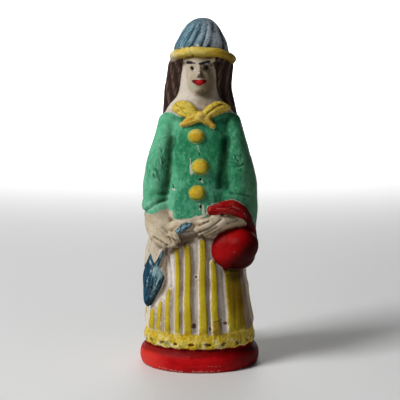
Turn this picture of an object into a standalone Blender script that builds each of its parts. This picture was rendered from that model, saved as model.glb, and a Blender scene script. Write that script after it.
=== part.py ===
"""A ceramic figurine whistle: a lady in a jacket, a hat and a pleated skirt, with a bag on one arm and a
folded umbrella in her hand, pressed in one piece with her round base and the whistle behind it.

The figure looks along -Y, and her left is +X. The base's underside lies on z = 0, centred on the z axis.
"""

import math

import bmesh
import bpy
from mathutils import Matrix, Vector

MM = 0.001

# Driving sizes
FIGURE_HEIGHT = 170 * MM  # from the top of the base to the top of the hat
BASE_WIDTH = 63 * MM
BASE_DEPTH = 56 * MM
BASE_THICKNESS = 10 * MM
WHISTLE_LENGTH = 21 * MM  # mouthpiece, from the back of the skirt to the lips
WHISTLE_WIDTH = 15 * MM
WHISTLE_THICKNESS = 14 * MM
WHISTLE_HEIGHT = 12 * MM  # of the mouthpiece's root above the base
WHISTLE_RISE = 12  # degrees that the mouthpiece points up
WINDWAY_WIDTH = 7 * MM
WINDWAY_HEIGHT = 1.6 * MM
WINDWAY_LENGTH = 10.5 * MM
WINDOW_LENGTH = 3.4 * MM  # the opening that the breath crosses
RAMP_LENGTH = 4.6 * MM  # the slope that ends in the sharp lip
LIP_THICKNESS = 0.5 * MM
CHAMBER_BORE = 6 * MM
CHAMBER_LENGTH = 24 * MM
VENT_BORE = 1.2 * MM  # the pin hole in the front of the skirt
VENT_DEPTH = 4 * MM

# The carving is measured in units of a 170th of the figure's height, upwards from the top of the base.
UNIT = FIGURE_HEIGHT / 170
WELD = 0.02 * MM

# Oval sections of the body, in units: height, half width, half depth, and the centre's x and y
SKIRT = (
    (0.0, 28.4, 25.0, 0.0, 0.0),
    (8.0, 28.2, 25.0, 0.0, 0.0),
    (18.0, 26.6, 23.8, -0.3, 0.0),
    (28.0, 25.0, 22.6, -0.3, 0.0),
    (40.0, 24.4, 21.8, -0.2, 0.0),
    (55.0, 25.0, 21.6, 0.0, 0.0),
    (68.0, 25.2, 21.4, 0.0, 0.0),
)
JACKET = (
    (65.6, 25.0, 22.4, 0.0, 0.2),
    (68.0, 25.6, 23.0, 0.0, 0.2),
    (73.0, 24.6, 22.4, 0.0, 0.2),
    (80.0, 22.8, 21.4, 0.0, 0.1),
    (90.0, 21.6, 20.2, 0.0, 0.0),
    (100.0, 20.6, 18.6, 0.0, 0.0),
    (108.0, 19.8, 17.0, 0.0, 0.0),
    (114.0, 19.2, 15.4, 0.0, 0.2),
    (118.0, 18.4, 14.2, 0.0, 0.4),
    (121.0, 16.8, 12.8, 0.0, 0.4),
    (124.0, 11.6, 10.8, 0.0, 0.2),
)
NECK = (
    (114.0, 12.0, 13.4, 0.0, -0.4),
    (119.0, 17.6, 14.0, 0.0, -0.8),
    (122.0, 16.6, 13.4, -0.2, -0.8),
    (125.5, 13.0, 12.2, -0.6, -0.6),
    (129.0, 10.6, 10.8, -0.6, -0.2),
    (133.0, 9.2, 10.0, -0.5, 0.0),
    (140.0, 8.4, 10.0, -0.3, -0.4),
    (150.0, 8.2, 10.2, -0.2, -0.6),
)
FACE = (
    (130.2, 2.0, 2.4, -0.3, -10.0),
    (131.8, 3.9, 3.8, -0.3, -9.8),
    (134.5, 5.2, 4.8, -0.2, -9.4),
    (138.5, 6.0, 5.2, -0.1, -9.1),
    (143.0, 6.5, 5.2, -0.1, -8.8),
    (147.0, 6.6, 5.2, -0.1, -8.6),
    (151.0, 6.4, 5.0, -0.1, -8.4),
)
HAIR = (
    (106.0, 13.0, 8.0, 0.0, 9.0),
    (112.0, 18.2, 11.2, 0.0, 6.6),
    (117.0, 20.0, 12.4, 0.2, 5.2),
    (121.0, 19.8, 12.8, 0.0, 4.4),
    (127.0, 18.8, 13.0, -0.2, 3.6),
    (134.0, 17.8, 13.0, -0.6, 3.2),
    (142.0, 17.0, 13.4, 0.2, 2.6),
    (148.0, 16.6, 13.8, 0.9, 1.8),
    (152.0, 14.6, 13.4, 1.0, 1.0),
)
HAT = (
    (147.0, 13.6, 13.2, 1.0, 0.6),
    (154.0, 13.7, 13.2, 1.0, 0.6),
    (157.7, 12.5, 12.2, 1.1, 0.6),
    (162.0, 10.2, 10.2, 1.1, 0.5),
    (165.5, 8.0, 8.0, 1.3, 0.4),
    (168.2, 5.2, 5.2, 1.6, 0.3),
    (169.6, 2.8, 2.8, 2.0, 0.2),
    (170.0, 1.4, 1.4, 2.2, 0.2),
)

# Ridges of the skirt, in degrees from the front towards the figure's left; the back's are evenly spread.
PLEAT_ANGLES = (-60, -49, -38.5, -26, -14, 4.5, 18.5, 35.5, 47.5, 60)
BACK_PLEATS = 17
PLEAT_DEPTH = 1.1 * UNIT
RIDGE_WIDTH = 4.8  # degrees that the flat crest of a ridge takes
GROOVE_START, GROOVE_END = 0.38, 0.64  # shares of the gap between two ridges
HEM_HEIGHT = 8.0
HEM_PROUD = 0.9 * UNIT
SCALLOP_RISE = 1.3  # how far the hem's lower edge lifts between two pleats
HAT_FLUTES = 16
HAT_FLUTE_DEPTH = 0.5 * UNIT
BAND_OUTSET = 1.0  # units from the hat's side to the middle of its rolled band
BAND_LIFT = 4.4  # units from the hat's foot up to the middle of the band
BAND_HALF_WIDTH = 2.2
BAND_HALF_RISE = 2.9
HAIR_LOCKS = 18
HAIR_LOCK_DEPTH = 0.5 * UNIT

# Paint of each form: colour and roughness
PAINTS = {
    "white": ((0.62, 0.55, 0.50), 0.6),
    "skin": ((0.56, 0.46, 0.33), 0.6),
    "green": ((0.06, 0.34, 0.18), 0.5),
    "yellow": ((0.60, 0.40, 0.04), 0.5),
    "red": ((0.42, 0.01, 0.02), 0.35),
    "slate_blue": ((0.10, 0.17, 0.22), 0.55),
    "deep_blue": ((0.02, 0.07, 0.12), 0.45),
    "brown": ((0.05, 0.03, 0.03), 0.6),
}


def at(x, y, z):
    """A point of the carving, from units to metres."""
    return Vector((x * UNIT, y * UNIT, BASE_THICKNESS + z * UNIT))


def paint(name):
    if name in bpy.data.materials:
        return bpy.data.materials[name]
    colour, roughness = PAINTS[name]
    material = bpy.data.materials.new(name)
    material.use_nodes = True
    shader = material.node_tree.nodes["Principled BSDF"]
    shader.inputs["Base Color"].default_value = (*colour, 1)
    shader.inputs["Roughness"].default_value = roughness
    shader.inputs["Metallic"].default_value = 0
    return material


def place(name, bm, colour, collection):
    """Makes a smooth-shaded object of a bmesh, in a collection."""
    bmesh.ops.recalc_face_normals(bm, faces=bm.faces)
    mesh = bpy.data.meshes.new(name)
    bm.to_mesh(mesh)
    bm.free()
    mesh.materials.append(paint(colour))
    mesh.shade_smooth()
    mesh.set_sharp_from_angle(angle=math.radians(40))
    obj = bpy.data.objects.new(name, mesh)
    collection.objects.link(obj)
    return obj


def add_walls(bm, loops, closed=False):
    """Joins rings of as many points each by walls, and the last to the first where it is closed."""
    following = loops[1:] + loops[:1] if closed else loops[1:]
    for low, high in zip(loops, following):
        for i in range(len(low)):
            j = (i + 1) % len(low)
            bm.faces.new((low[i], low[j], high[j], high[i]))


def skin_rings(rings):
    """A closed mesh through rings of points, capped at both ends."""
    bm = bmesh.new()
    loops = [[bm.verts.new(point) for point in ring] for ring in rings]
    add_walls(bm, loops)
    for end in (loops[0][::-1], loops[-1]):
        middle = bm.verts.new(sum((v.co for v in end), Vector()) / len(end))
        for i in range(len(end)):
            bm.faces.new((end[i], end[(i + 1) % len(end)], middle))
    return bm


def between(stations, height):
    """The section at a height, on a smooth curve through its neighbours."""
    last = len(stations) - 1
    if height <= stations[0][0]:
        return stations[0][1:]
    if height >= stations[last][0]:
        return stations[last][1:]
    i = max(k for k in range(last) if stations[k][0] <= height)
    before, low, high, after = (stations[min(max(k, 0), last)] for k in (i - 1, i, i + 1, i + 2))
    span = high[0] - low[0]
    t = (height - low[0]) / span
    values = []
    for a, b, c, d in zip(before[1:], low[1:], high[1:], after[1:]):
        start = (c - a) / (high[0] - before[0]) * span
        end = (d - b) / (after[0] - low[0]) * span
        value = (2 * t**3 - 3 * t**2 + 1) * b + (t**3 - 2 * t**2 + t) * start
        value += (3 * t**2 - 2 * t**3) * c + (t**3 - t**2) * end
        values.append(value)
    return values


def on_oval(stations, angle, height, proud=0.0):
    """A point on a form's section. The angle is in degrees from the front, towards the figure's left."""
    half_width, half_depth, x, y = between(stations, height)
    turn = math.radians(angle)
    outward = Vector((math.sin(turn), -math.cos(turn), 0))
    return at(x + half_width * outward.x, y + half_depth * outward.y, height) + outward * proud


def front_of(stations, x, height, proud=0.0):
    """The point on the front of a form at x, in units, that stands proud by so many units."""
    half_width, half_depth, centre_x, centre_y = between(stations, height)
    across = min(max((x - centre_x) / half_width, -0.98), 0.98)
    return at(x, centre_y - half_depth * math.sqrt(1 - across**2) - proud, height)


def oval_loft(name, stations, heights, segments, colour, collection, relief=None):
    """A form through oval sections; relief(angle, height) gives how far it stands proud, in metres."""
    rings = []
    for height in heights:
        ring = []
        for k in range(segments):
            angle = 360 * k / segments
            ring.append(on_oval(stations, angle, height, relief(angle, height) if relief else 0.0))
        rings.append(ring)
    return place(name, skin_rings(rings), colour, collection)


def limb(name, stations, sides, colour, collection, facing=0):
    """A rounded form along stations of x, y, z, half width and half depth, in units.

    The half depth points to the side that it faces, in degrees from the front, and the half width lies
    across that and the path.
    """
    points = [at(*station[:3]) for station in stations]
    last = len(points) - 1
    inward = Matrix.Rotation(math.radians(facing), 3, "Z") @ Vector((0, 1, 0))
    rings = []
    for i, (point, station) in enumerate(zip(points, stations)):
        along = (points[min(i + 1, last)] - points[max(i - 1, 0)]).normalized()
        first = along.cross(inward).normalized()
        second = along.cross(first).normalized()
        wide, deep = station[3] * UNIT, station[4] * UNIT
        steps = [(0.0, 1.0)]
        if i == 0:
            steps = [(-0.75, 0.5), (0.0, 1.0)]
        if i == last:
            steps = [(0.0, 1.0), (0.75, 0.5)]
        for push, share in steps:
            centre = point + along * min(wide, deep) * push
            ring = []
            for k in range(sides):
                turn = 2 * math.pi * k / sides
                across = first * math.cos(turn) * wide + second * math.sin(turn) * deep
                ring.append(centre + across * share)
            rings.append(ring)
    return place(name, skin_rings(rings), colour, collection)


def ball(name, centre, radii, segments, rings, colour, collection, turn=Matrix()):
    bm = bmesh.new()
    bmesh.ops.create_uvsphere(bm, u_segments=segments, v_segments=rings, radius=1)
    size = Matrix.Diagonal((*(radius * UNIT for radius in radii), 1))
    bmesh.ops.transform(bm, matrix=Matrix.Translation(centre) @ turn @ size, verts=bm.verts)
    return place(name, bm, colour, collection)


def make_base(forms):
    """The oval base: upright at the foot, fullest low down, rounded over under the hem."""
    profile = (
        (0.93, 0.0),
        (0.975, 0.13),
        (1.0, 0.38),
        (0.99, 0.62),
        (0.955, 0.85),
        (0.915, 1.0),
        (0.80, 1.06),
    )
    segments = 44
    rings = []
    for share, level in profile:
        ring = []
        for k in range(segments):
            turn = 2 * math.pi * k / segments
            x = math.sin(turn) * BASE_WIDTH / 2 * share
            y = -math.cos(turn) * BASE_DEPTH / 2 * share
            ring.append((x, y, BASE_THICKNESS * level))
        rings.append(ring)
    place("form_base", skin_rings(rings), "red", forms)


def pleat_columns():
    """Points round the skirt: the angle of each, and its share of the pleats' depth."""
    first, last = PLEAT_ANGLES[0], PLEAT_ANGLES[-1]
    behind = (360 + first - last) / (BACK_PLEATS + 1)
    ridges = list(PLEAT_ANGLES) + [last + behind * (k + 1) for k in range(BACK_PLEATS)]
    columns = []
    for ridge, following in zip(ridges, ridges[1:] + [first + 360]):
        gap = following - ridge
        columns += [(ridge - RIDGE_WIDTH / 2, 1.0), (ridge + RIDGE_WIDTH / 2, 1.0)]
        columns += [(ridge + gap * GROOVE_START, 0.0), (ridge + gap * GROOVE_END, 0.0)]
    return columns


def make_skirt():
    """The pleated skirt with its scalloped hem, the form that the others are joined to."""
    rows = (
        # height, share of the pleats' depth, proud of the skirt, share of the scallops
        (-1.5, 0.0, -1.2 * UNIT, 0.0),
        (0.4, 0.0, HEM_PROUD * 0.7, 1.0),
        (HEM_HEIGHT * 0.5, 0.0, HEM_PROUD, 0.3),
        (HEM_HEIGHT, 0.5, HEM_PROUD * 0.6, 0.0),
        (HEM_HEIGHT + 2.0, 1.0, 0.0, 0.0),
        (22.0, 1.0, 0.0, 0.0),
        (38.0, 1.0, 0.0, 0.0),
        (54.0, 0.8, 0.0, 0.0),
        (67.0, 0.3, 0.0, 0.0),
    )
    rings = []
    for height, fold, proud, scallop in rows:
        ring = []
        for angle, share in pleat_columns():
            lift = SCALLOP_RISE * scallop * (1 - share)
            ring.append(on_oval(SKIRT, angle, height + lift, proud + fold * share * PLEAT_DEPTH))
        rings.append(ring)
    return place("figurine_whistle", skin_rings(rings), "white", bpy.context.scene.collection)


def make_torso(forms):
    heights = (65.6, 66.6, 68.4, 74, 82, 90, 98, 105, 111, 116, 119.5, 122, 124)
    oval_loft("form_jacket", JACKET, heights, 32, "green", forms)
    oval_loft("form_neck", NECK, (114, 119, 122, 125, 128, 132, 140, 150), 20, "white", forms)


def make_face(forms):
    oval_loft("form_face", FACE, (130.2, 131.8, 134.5, 138.5, 143, 147, 151), 14, "skin", forms)
    nose = ((-0.1, -13.6, 145.4, 0.7, 0.7), (-0.1, -14.4, 142, 0.9, 1.0), (-0.1, -14.6, 139.9, 1.4, 1.6))
    limb("form_nose", nose, 6, "skin", forms)
    lips = ((-3.4, -12.9, 136.8, 0.5, 0.7), (-0.2, -14.1, 136.0, 1.4, 1.0), (3.2, -12.9, 136.6, 0.5, 0.7))
    limb("form_lips", lips, 6, "red", forms)
    ball("form_chin", at(-0.3, -13.0, 132.5), (2.4, 1.7, 1.9), 8, 6, "skin", forms)


def make_hair(forms):
    def locks(angle, height):
        """Shallow waves that run down the hair."""
        return HAIR_LOCK_DEPTH * math.cos(math.radians(angle) * HAIR_LOCKS + height * 0.06)

    heights = (106, 112, 117, 122, 129, 136, 143, 149, 152)
    oval_loft("form_hair", HAIR, heights, HAIR_LOCKS * 2, "brown", forms, locks)


def make_hat(forms):
    def flutes(angle, height):
        """Slanting flutes that fade at the crown."""
        fade = min(1.0, max(0.0, (170 - height) / 6))
        return HAT_FLUTE_DEPTH * fade * math.cos(math.radians(angle + height * 1.5) * HAT_FLUTES)

    heights = (147, 153, 157, 160.5, 163.8, 166.6, 168.6, 169.6, 170)
    oval_loft("form_hat", HAT, heights, HAT_FLUTES * 3, "slate_blue", forms, flutes)
    around, sides = 32, 7
    foot, half_width = HAT[0][:2]
    radius = half_width + BAND_OUTSET
    rings = []
    for k in range(around):
        turn = 2 * math.pi * k / around
        outward = Vector((math.sin(turn), -math.cos(turn), 0))
        droop = 1.1 * outward.x**2 + 0.6 * outward.x + 0.6 * (1 + outward.y)
        centre = at(1.7 + outward.x * radius, 0.4 + outward.y * radius, foot + BAND_LIFT - droop)
        ring = []
        for side in range(sides):
            roll = 2 * math.pi * side / sides
            across = outward * math.cos(roll) * BAND_HALF_WIDTH
            across.z = math.sin(roll) * BAND_HALF_RISE
            ring.append(centre + across * UNIT)
        rings.append(ring)
    bm = bmesh.new()
    add_walls(bm, [[bm.verts.new(point) for point in ring] for ring in rings], closed=True)
    place("form_hat_band", bm, "yellow", forms)


def make_sleeves(forms):
    """The sleeves lie along the sides of the body, bend at the elbow and end in turned cuffs."""
    right = (
        (-15.4, -1.0, 116.5, 5.6, 8.0),
        (-16.8, -3.0, 108.0, 5.9, 10.4),
        (-20.2, -3.8, 96.0, 7.4, 12.4),
        (-22.0, -4.4, 83.0, 7.4, 12.6),
        (-22.0, -6.6, 74.0, 7.0, 11.0),
        (-21.8, -8.4, 68.4, 6.5, 8.6),
    )
    limb("form_right_sleeve", right, 14, "green", forms)
    left = (
        (15.4, -1.0, 116.5, 5.6, 8.0),
        (16.8, -3.0, 108.5, 5.9, 10.4),
        (19.0, -3.8, 98.0, 8.0, 12.4),
        (19.6, -5.0, 87.0, 9.9, 13.0),
        (20.4, -5.6, 77.0, 9.7, 12.4),
        (21.6, -4.8, 68.0, 8.6, 11.0),
        (22.4, -3.0, 61.0, 7.2, 9.0),
    )
    limb("form_left_sleeve", left, 14, "green", forms)
    right_cuff = ((-22.6, -7.6, 74.4, 7.2, 9.8), (-20.4, -10.6, 69.0, 7.8, 9.2))
    limb("form_right_cuff", right_cuff, 14, "green", forms)
    left_cuff = ((20.0, -11.6, 79.6, 7.0, 6.6), (16.8, -16.0, 76.0, 7.0, 6.0))
    limb("form_left_cuff", left_cuff, 14, "green", forms)


def finger(name, start, end, thickness, forms):
    """A finger from its knuckle to its tip, arched a little outwards."""
    middle = [(a + b) / 2 for a, b in zip(start, end)]
    middle[1] -= 0.6
    tip = thickness * 0.8
    stations = ((*start, thickness, thickness), (*middle, thickness, thickness), (*end, tip, tip))
    limb(name, stations, 6, "skin", forms)


def make_right_hand(forms):
    """The fist that holds the umbrella."""
    hand = (
        (-21.0, -11.6, 70.0, 6.4, 6.4),
        (-20.6, -14.4, 64.0, 6.6, 5.6),
        (-18.8, -17.4, 59.0, 5.7, 4.8),
        (-15.4, -19.6, 57.0, 4.6, 4.2),
    )
    limb("form_right_hand", hand, 12, "skin", forms)
    finger("form_right_finger_1", (-15.6, -22.0, 60.4), (-10.8, -24.2, 58.8), 1.5, forms)
    finger("form_right_finger_2", (-15.9, -21.8, 57.8), (-11.0, -24.0, 56.0), 1.5, forms)
    finger("form_right_finger_3", (-16.0, -21.2, 55.4), (-12.4, -22.8, 53.2), 1.5, forms)


def make_left_hand(forms):
    """The hand that lies across the body, with its fingers over the umbrella's handle."""
    hand = (
        (21.4, -14.4, 64.6, 3.3, 4.0),
        (13.6, -19.4, 66.2, 3.7, 4.4),
        (8.2, -21.6, 65.4, 5.0, 4.0),
        (4.0, -22.0, 64.4, 5.4, 3.6),
    )
    limb("form_left_hand", hand, 12, "skin", forms)
    finger("form_left_finger_1", (8.0, -24.6, 68.4), (-5.2, -24.2, 67.2), 1.35, forms)
    finger("form_left_finger_2", (8.4, -25.3, 66.2), (-3.2, -25.2, 64.2), 1.4, forms)
    finger("form_left_finger_3", (8.0, -25.0, 63.8), (-0.6, -24.6, 61.2), 1.4, forms)
    finger("form_left_finger_4", (7.4, -24.0, 61.4), (2.2, -23.2, 59.0), 1.35, forms)


def make_umbrella(forms):
    """The folded umbrella hangs point down from the fist, its open end in two peaks, its handle above."""
    side = -45
    cloth = ((-19.8, -14.6, 59.0, 6.0, 4.2), (-21.8, -12.8, 51.0, 6.8, 4.4), (-22.8, -11.8, 42.0, 7.2, 4.6))
    limb("form_umbrella_cloth", cloth, 12, "white", forms, side)
    canopy = (
        (-22.2, -13.4, 43.6, 4.6, 3.6),
        (-22.4, -13.2, 40.0, 7.0, 4.4),
        (-23.2, -12.2, 35.0, 7.6, 4.8),
        (-24.4, -10.6, 29.0, 5.4, 4.0),
        (-26.2, -8.8, 23.4, 2.6, 2.6),
        (-27.0, -8.0, 20.6, 0.8, 1.0),
    )
    limb("form_umbrella_canopy", canopy, 12, "deep_blue", forms, side)
    outer = ((-25.0, -13.2, 42.0, 2.8, 2.4), (-25.4, -12.8, 48.4, 0.9, 2.0))
    limb("form_umbrella_outer_peak", outer, 7, "deep_blue", forms, side)
    inner = ((-20.8, -16.6, 42.0, 2.6, 2.4), (-18.9, -18.0, 51.0, 1.0, 2.0))
    limb("form_umbrella_inner_peak", inner, 7, "deep_blue", forms, side)
    handle = ((-12.2, -23.2, 60.8, 1.9, 2.8), (-4.8, -24.0, 65.0, 1.9, 2.8))
    limb("form_umbrella_handle", handle, 8, "deep_blue", forms)


def make_bag(forms):
    """The round bag that hangs from the left arm by a broad strap."""
    lean = Matrix.Rotation(math.radians(-12), 4, "Y")
    ball("form_bag", at(18.3, -15.0, 51.2), (12.2, 10.8, 10.8), 20, 12, "red", forms, lean)
    point = ((14.6, -18.6, 43.4, 2.6, 2.6), (13.8, -18.6, 40.8, 1.2, 1.2))
    limb("form_bag_point", point, 7, "red", forms)
    strap = (
        (5.6, -23.2, 72.4, 2.4, 2.2),
        (9.0, -23.8, 73.0, 2.7, 2.4),
        (12.4, -23.2, 73.6, 3.1, 2.6),
        (16.4, -21.8, 73.4, 3.4, 3.0),
        (20.4, -19.0, 71.4, 3.4, 3.2),
        (23.6, -15.4, 67.4, 3.2, 3.2),
        (26.0, -12.0, 62.0, 2.9, 3.0),
        (27.4, -10.0, 56.5, 2.4, 2.6),
    )
    limb("form_bag_strap", strap, 8, "red", forms)


def make_bow(forms):
    """The bow at the neck: two loops, two tails and the knot, lying on the chest."""
    loops = {
        "right": ((-4.0, 121.0, 2.4), (-8.2, 123.2, 3.7), (-11.6, 124.2, 3.0), (-13.2, 123.6, 1.6)),
        "left": ((4.4, 121.2, 2.2), (8.8, 123.4, 3.5), (12.6, 124.0, 2.7), (15.2, 123.6, 1.3)),
    }
    for side, route in loops.items():
        stations = [(0.2, -15.0, 119.4, 1.9, 2.4)]
        stations += [(x, -15.0 + 0.032 * x**2, z, half, 2.4) for x, z, half in route]
        limb(f"form_bow_{side}_loop", stations, 8, "yellow", forms)
    tails = {"right": (-9.2, 114.0), "left": (6.8, 113.6)}
    for side, (x, z) in tails.items():
        middle = (x * 0.5, -15.8, (z + 119) / 2, 2.0, 2.0)
        stations = ((0.2, -15.6, 119.0, 1.7, 2.2), middle, (x, -15.0, z, 2.2, 2.2))
        limb(f"form_bow_{side}_tail", stations, 7, "yellow", forms)
    ball("form_bow_knot", at(0.2, -15.6, 119.0), (2.9, 3.0, 2.5), 10, 8, "yellow", forms)


def make_buttons(forms):
    buttons = ((-1.5, 109.0, 4.7, 3.9), (0.5, 93.7, 4.4, 4.4), (-1.2, 80.8, 4.3, 4.0))
    for k, (x, height, width, rise) in enumerate(buttons):
        centre = front_of(JACKET, x, height, 0.2)
        ball(f"form_button_{k + 1}", centre, (width, 3.2, rise), 14, 8, "yellow", forms)


def whistle_frame():
    """The mouthpiece's own axes: +Y towards the lips and +Z up, from its root in the back of the skirt."""
    height = WHISTLE_HEIGHT / UNIT
    root = on_oval(SKIRT, 180, height)
    return Matrix.Translation(root) @ Matrix.Rotation(math.radians(WHISTLE_RISE), 4, "X")


def make_mouthpiece(forms):
    """The stub that the player blows: oval, narrowing to its lips."""
    frame = whistle_frame()
    rings = []
    sunk = -9 * MM
    narrowing = ((0.0, 1.0), (0.5, 0.94), (0.9, 0.82), (1.0, 0.68))
    for along, share in ((sunk, 1.0), *((part * WHISTLE_LENGTH, share) for part, share in narrowing)):
        ring = []
        for k in range(18):
            turn = 2 * math.pi * k / 18
            x = math.cos(turn) * WHISTLE_WIDTH / 2 * share
            z = math.sin(turn) * WHISTLE_THICKNESS / 2 * share
            ring.append(frame @ Vector((x, along, z)))
        rings.append(ring)
    place("form_mouthpiece", skin_rings(rings), "white", forms)


def prism(name, outline, frame, cuts):
    """A cutter as wide as the windway: an outline of (along, up) in the mouthpiece's upright plane."""
    rings = []
    for side in (-0.5, 0.5):
        rings.append([frame @ Vector((side * WINDWAY_WIDTH, along, up)) for along, up in outline])
    place(name, skin_rings(rings), "white", cuts)


def drill(name, bore, length, segments, centre, frame, cuts):
    """A round cutter that lies along the frame's Y axis."""
    bm = bmesh.new()
    radius = bore / 2
    bmesh.ops.create_cone(
        bm, cap_ends=True, segments=segments, radius1=radius, radius2=radius, depth=length
    )
    lie_down = Matrix.Rotation(math.radians(90), 4, "X")
    bmesh.ops.transform(bm, matrix=frame @ Matrix.Translation(centre) @ lie_down, verts=bm.verts)
    place(name, bm, "white", cuts)


def make_whistle_cuts(cuts):
    """The windway from the lips, the window with its sloped lip, and the air chamber below it."""
    frame = whistle_frame()
    spare = 0.6 * MM
    roof = WHISTLE_THICKNESS / 2 * 0.35
    floor = roof - WINDWAY_HEIGHT
    start = WHISTLE_LENGTH - WINDWAY_LENGTH
    edge = start - WINDOW_LENGTH
    chamber_top = roof - WINDWAY_HEIGHT / 2
    mouth = WHISTLE_LENGTH + 2 * MM
    windway = ((mouth, floor), (mouth, roof), (start - spare, roof), (start - spare, floor))
    prism("cut_windway", windway, frame, cuts)
    ramp_end = (edge - RAMP_LENGTH, WHISTLE_THICKNESS / 2)
    window = (
        (start, floor - spare),
        (start, WHISTLE_THICKNESS),
        (ramp_end[0], WHISTLE_THICKNESS),
        ramp_end,
        (edge, chamber_top + LIP_THICKNESS),
        (edge, floor - spare),
    )
    prism("cut_window", window, frame, cuts)
    centre = Vector((0, start - 0.1 * MM - CHAMBER_LENGTH / 2, chamber_top - CHAMBER_BORE / 2))
    drill("cut_chamber", CHAMBER_BORE, CHAMBER_LENGTH, 16, centre, frame, cuts)


def make_vent(cuts):
    """The pin hole that lets the hollow figure breathe in the kiln."""
    spare = 2 * MM
    mouth = front_of(SKIRT, -1.7, 38.3)
    centre = Vector((0, (VENT_DEPTH - spare) / 2, 0))
    drill("cut_vent", VENT_BORE, VENT_DEPTH + spare, 8, centre, Matrix.Translation(mouth), cuts)


def collect(name):
    """A collection for the forms that the figure is joined from, or cut with."""
    collection = bpy.data.collections.new(name)
    bpy.context.scene.collection.children.link(collection)
    return collection


def combine(target, collection, operation):
    modifier = target.modifiers.new(collection.name, "BOOLEAN")
    modifier.operation = operation
    modifier.solver = "MANIFOLD"
    modifier.operand_type = "COLLECTION"
    modifier.collection = collection
    modifier.material_mode = "TRANSFER"
    for guide in collection.objects:
        guide.hide_render = True
        guide.display_type = "WIRE"


def main():
    for obj in list(bpy.data.objects):
        bpy.data.objects.remove(obj)
    forms, cuts = collect("forms"), collect("whistle_cuts")
    figurine = make_skirt()
    make_base(forms)
    make_torso(forms)
    make_face(forms)
    make_hair(forms)
    make_hat(forms)
    make_sleeves(forms)
    make_right_hand(forms)
    make_left_hand(forms)
    make_umbrella(forms)
    make_bag(forms)
    make_bow(forms)
    make_buttons(forms)
    make_mouthpiece(forms)
    make_whistle_cuts(cuts)
    make_vent(cuts)
    combine(figurine, forms, "UNION")
    combine(figurine, cuts, "DIFFERENCE")
    weld = figurine.modifiers.new("weld", "WELD")
    weld.merge_threshold = WELD


main()
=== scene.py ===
"""The looks of the ceramic figurine whistle: one pressed, lumpy body of clay, painted by hand.

The figure looks along -Y, and her left is +X. Lengths are in units of a 180th of her whole height, and the
heights of the carving count from the top of the base.
"""

import math
from functools import reduce

import bpy
import numpy as np
from mathutils import Matrix, Vector
from mathutils.bvhtree import BVHTree


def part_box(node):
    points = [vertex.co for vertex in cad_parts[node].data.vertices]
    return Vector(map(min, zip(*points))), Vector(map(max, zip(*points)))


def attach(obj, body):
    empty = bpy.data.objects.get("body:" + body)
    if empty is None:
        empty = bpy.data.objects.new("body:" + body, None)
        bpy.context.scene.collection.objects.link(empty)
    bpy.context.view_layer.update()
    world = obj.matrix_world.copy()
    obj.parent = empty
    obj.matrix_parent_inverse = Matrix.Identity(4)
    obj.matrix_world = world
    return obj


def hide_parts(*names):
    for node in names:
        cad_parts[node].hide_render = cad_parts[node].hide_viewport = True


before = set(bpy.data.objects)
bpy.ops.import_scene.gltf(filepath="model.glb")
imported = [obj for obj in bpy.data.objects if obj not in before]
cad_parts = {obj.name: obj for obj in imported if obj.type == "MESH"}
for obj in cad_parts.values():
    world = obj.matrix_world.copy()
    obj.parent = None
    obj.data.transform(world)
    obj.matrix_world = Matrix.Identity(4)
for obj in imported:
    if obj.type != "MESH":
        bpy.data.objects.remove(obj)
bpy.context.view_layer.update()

# Driving sizes, from the frame
NODE = "figurine_whistle"
LOW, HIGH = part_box(NODE)
UNIT = (HIGH.z - LOW.z) / 180
BASE_THICKNESS = 10
BASE_WIDTH = 63
BASE_DEPTH = 56
CLAY_GRAIN = 0.69  # size of the clay's grid, once the forms are pressed into one
SOFTENING_ROUNDS = 3
LUMP_SIZE = 7
LUMP_RISE = 0.7
REACH = 4.0  # how far inside or outside a form its field still tells places apart
RIDGE_ROUNDS, BROAD_ROUNDS = 5, 24  # how widely the clay is evened out to find its small and its broad forms

# The base's rounded edge: heights and the share of its full width there
BASE_PROFILE = (
    (-10, 0.955), (-9.7, 0.972), (-8.8, 0.985), (-6.4, 0.999), (-4.6, 1), (-2.4, 0.985), (-0.8, 0.95),
    (0, 0.9), (0.4, 0.82),
)

# Oval sections of the body: height, half width, half depth, and the centre's x and y
SKIRT = (
    (-1.5, 27.2, 23.8, 0, 0),
    (0, 28.8, 25.4, 0, 0),
    (2, 29.2, 25.9, 0, 0),
    (6, 29.1, 25.9, 0, 0),
    (9, 28.3, 25.2, 0, 0),
    (12, 27.6, 24.6, -0.1, 0),
    (18, 26.6, 23.8, -0.3, 0),
    (28, 25, 22.6, -0.3, 0),
    (40, 24.4, 21.8, -0.2, 0),
    (55, 25, 21.6, 0, 0),
    (68, 25.2, 21.4, 0, 0),
)
JACKET = (
    (65.6, 25, 22.4, 0, 0.2),
    (68, 25.6, 23, 0, 0.2),
    (73, 24.6, 22.4, 0, 0.2),
    (80, 22.8, 21.4, 0, 0.1),
    (90, 21.6, 20.2, 0, 0),
    (100, 20.6, 18.6, 0, 0),
    (108, 19.8, 17, 0, 0),
    (114, 19.2, 15.4, 0, 0.2),
    (118, 18.4, 14.2, 0, 0.4),
    (121, 16.8, 12.8, 0, 0.4),
    (124, 11.6, 10.8, 0, 0.2),
)
NECK = (
    (114, 12, 13.4, 0, -0.4),
    (119, 17.6, 14, 0, -0.8),
    (122, 17.4, 13.6, -0.2, -0.6),
    (125.5, 14.4, 12.8, -0.8, -0.2),
    (129, 11.6, 12.2, -0.8, 0.2),
    (133, 10.3, 12, -0.7, 0.4),
    (140, 9.8, 12.2, -0.4, 0.4),
    (150, 9.6, 12.4, -0.2, 0.4),
)
FACE = (
    (130.2, 2, 2.4, -0.3, -10),
    (131.8, 3.9, 3.8, -0.3, -9.8),
    (134.5, 5.2, 4.8, -0.2, -9.4),
    (138.5, 6, 5.2, -0.1, -9.1),
    (143, 6.5, 5.2, -0.1, -8.8),
    (147, 6.6, 5.2, -0.1, -8.6),
    (151, 6.4, 5, -0.1, -8.4),
)
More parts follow.
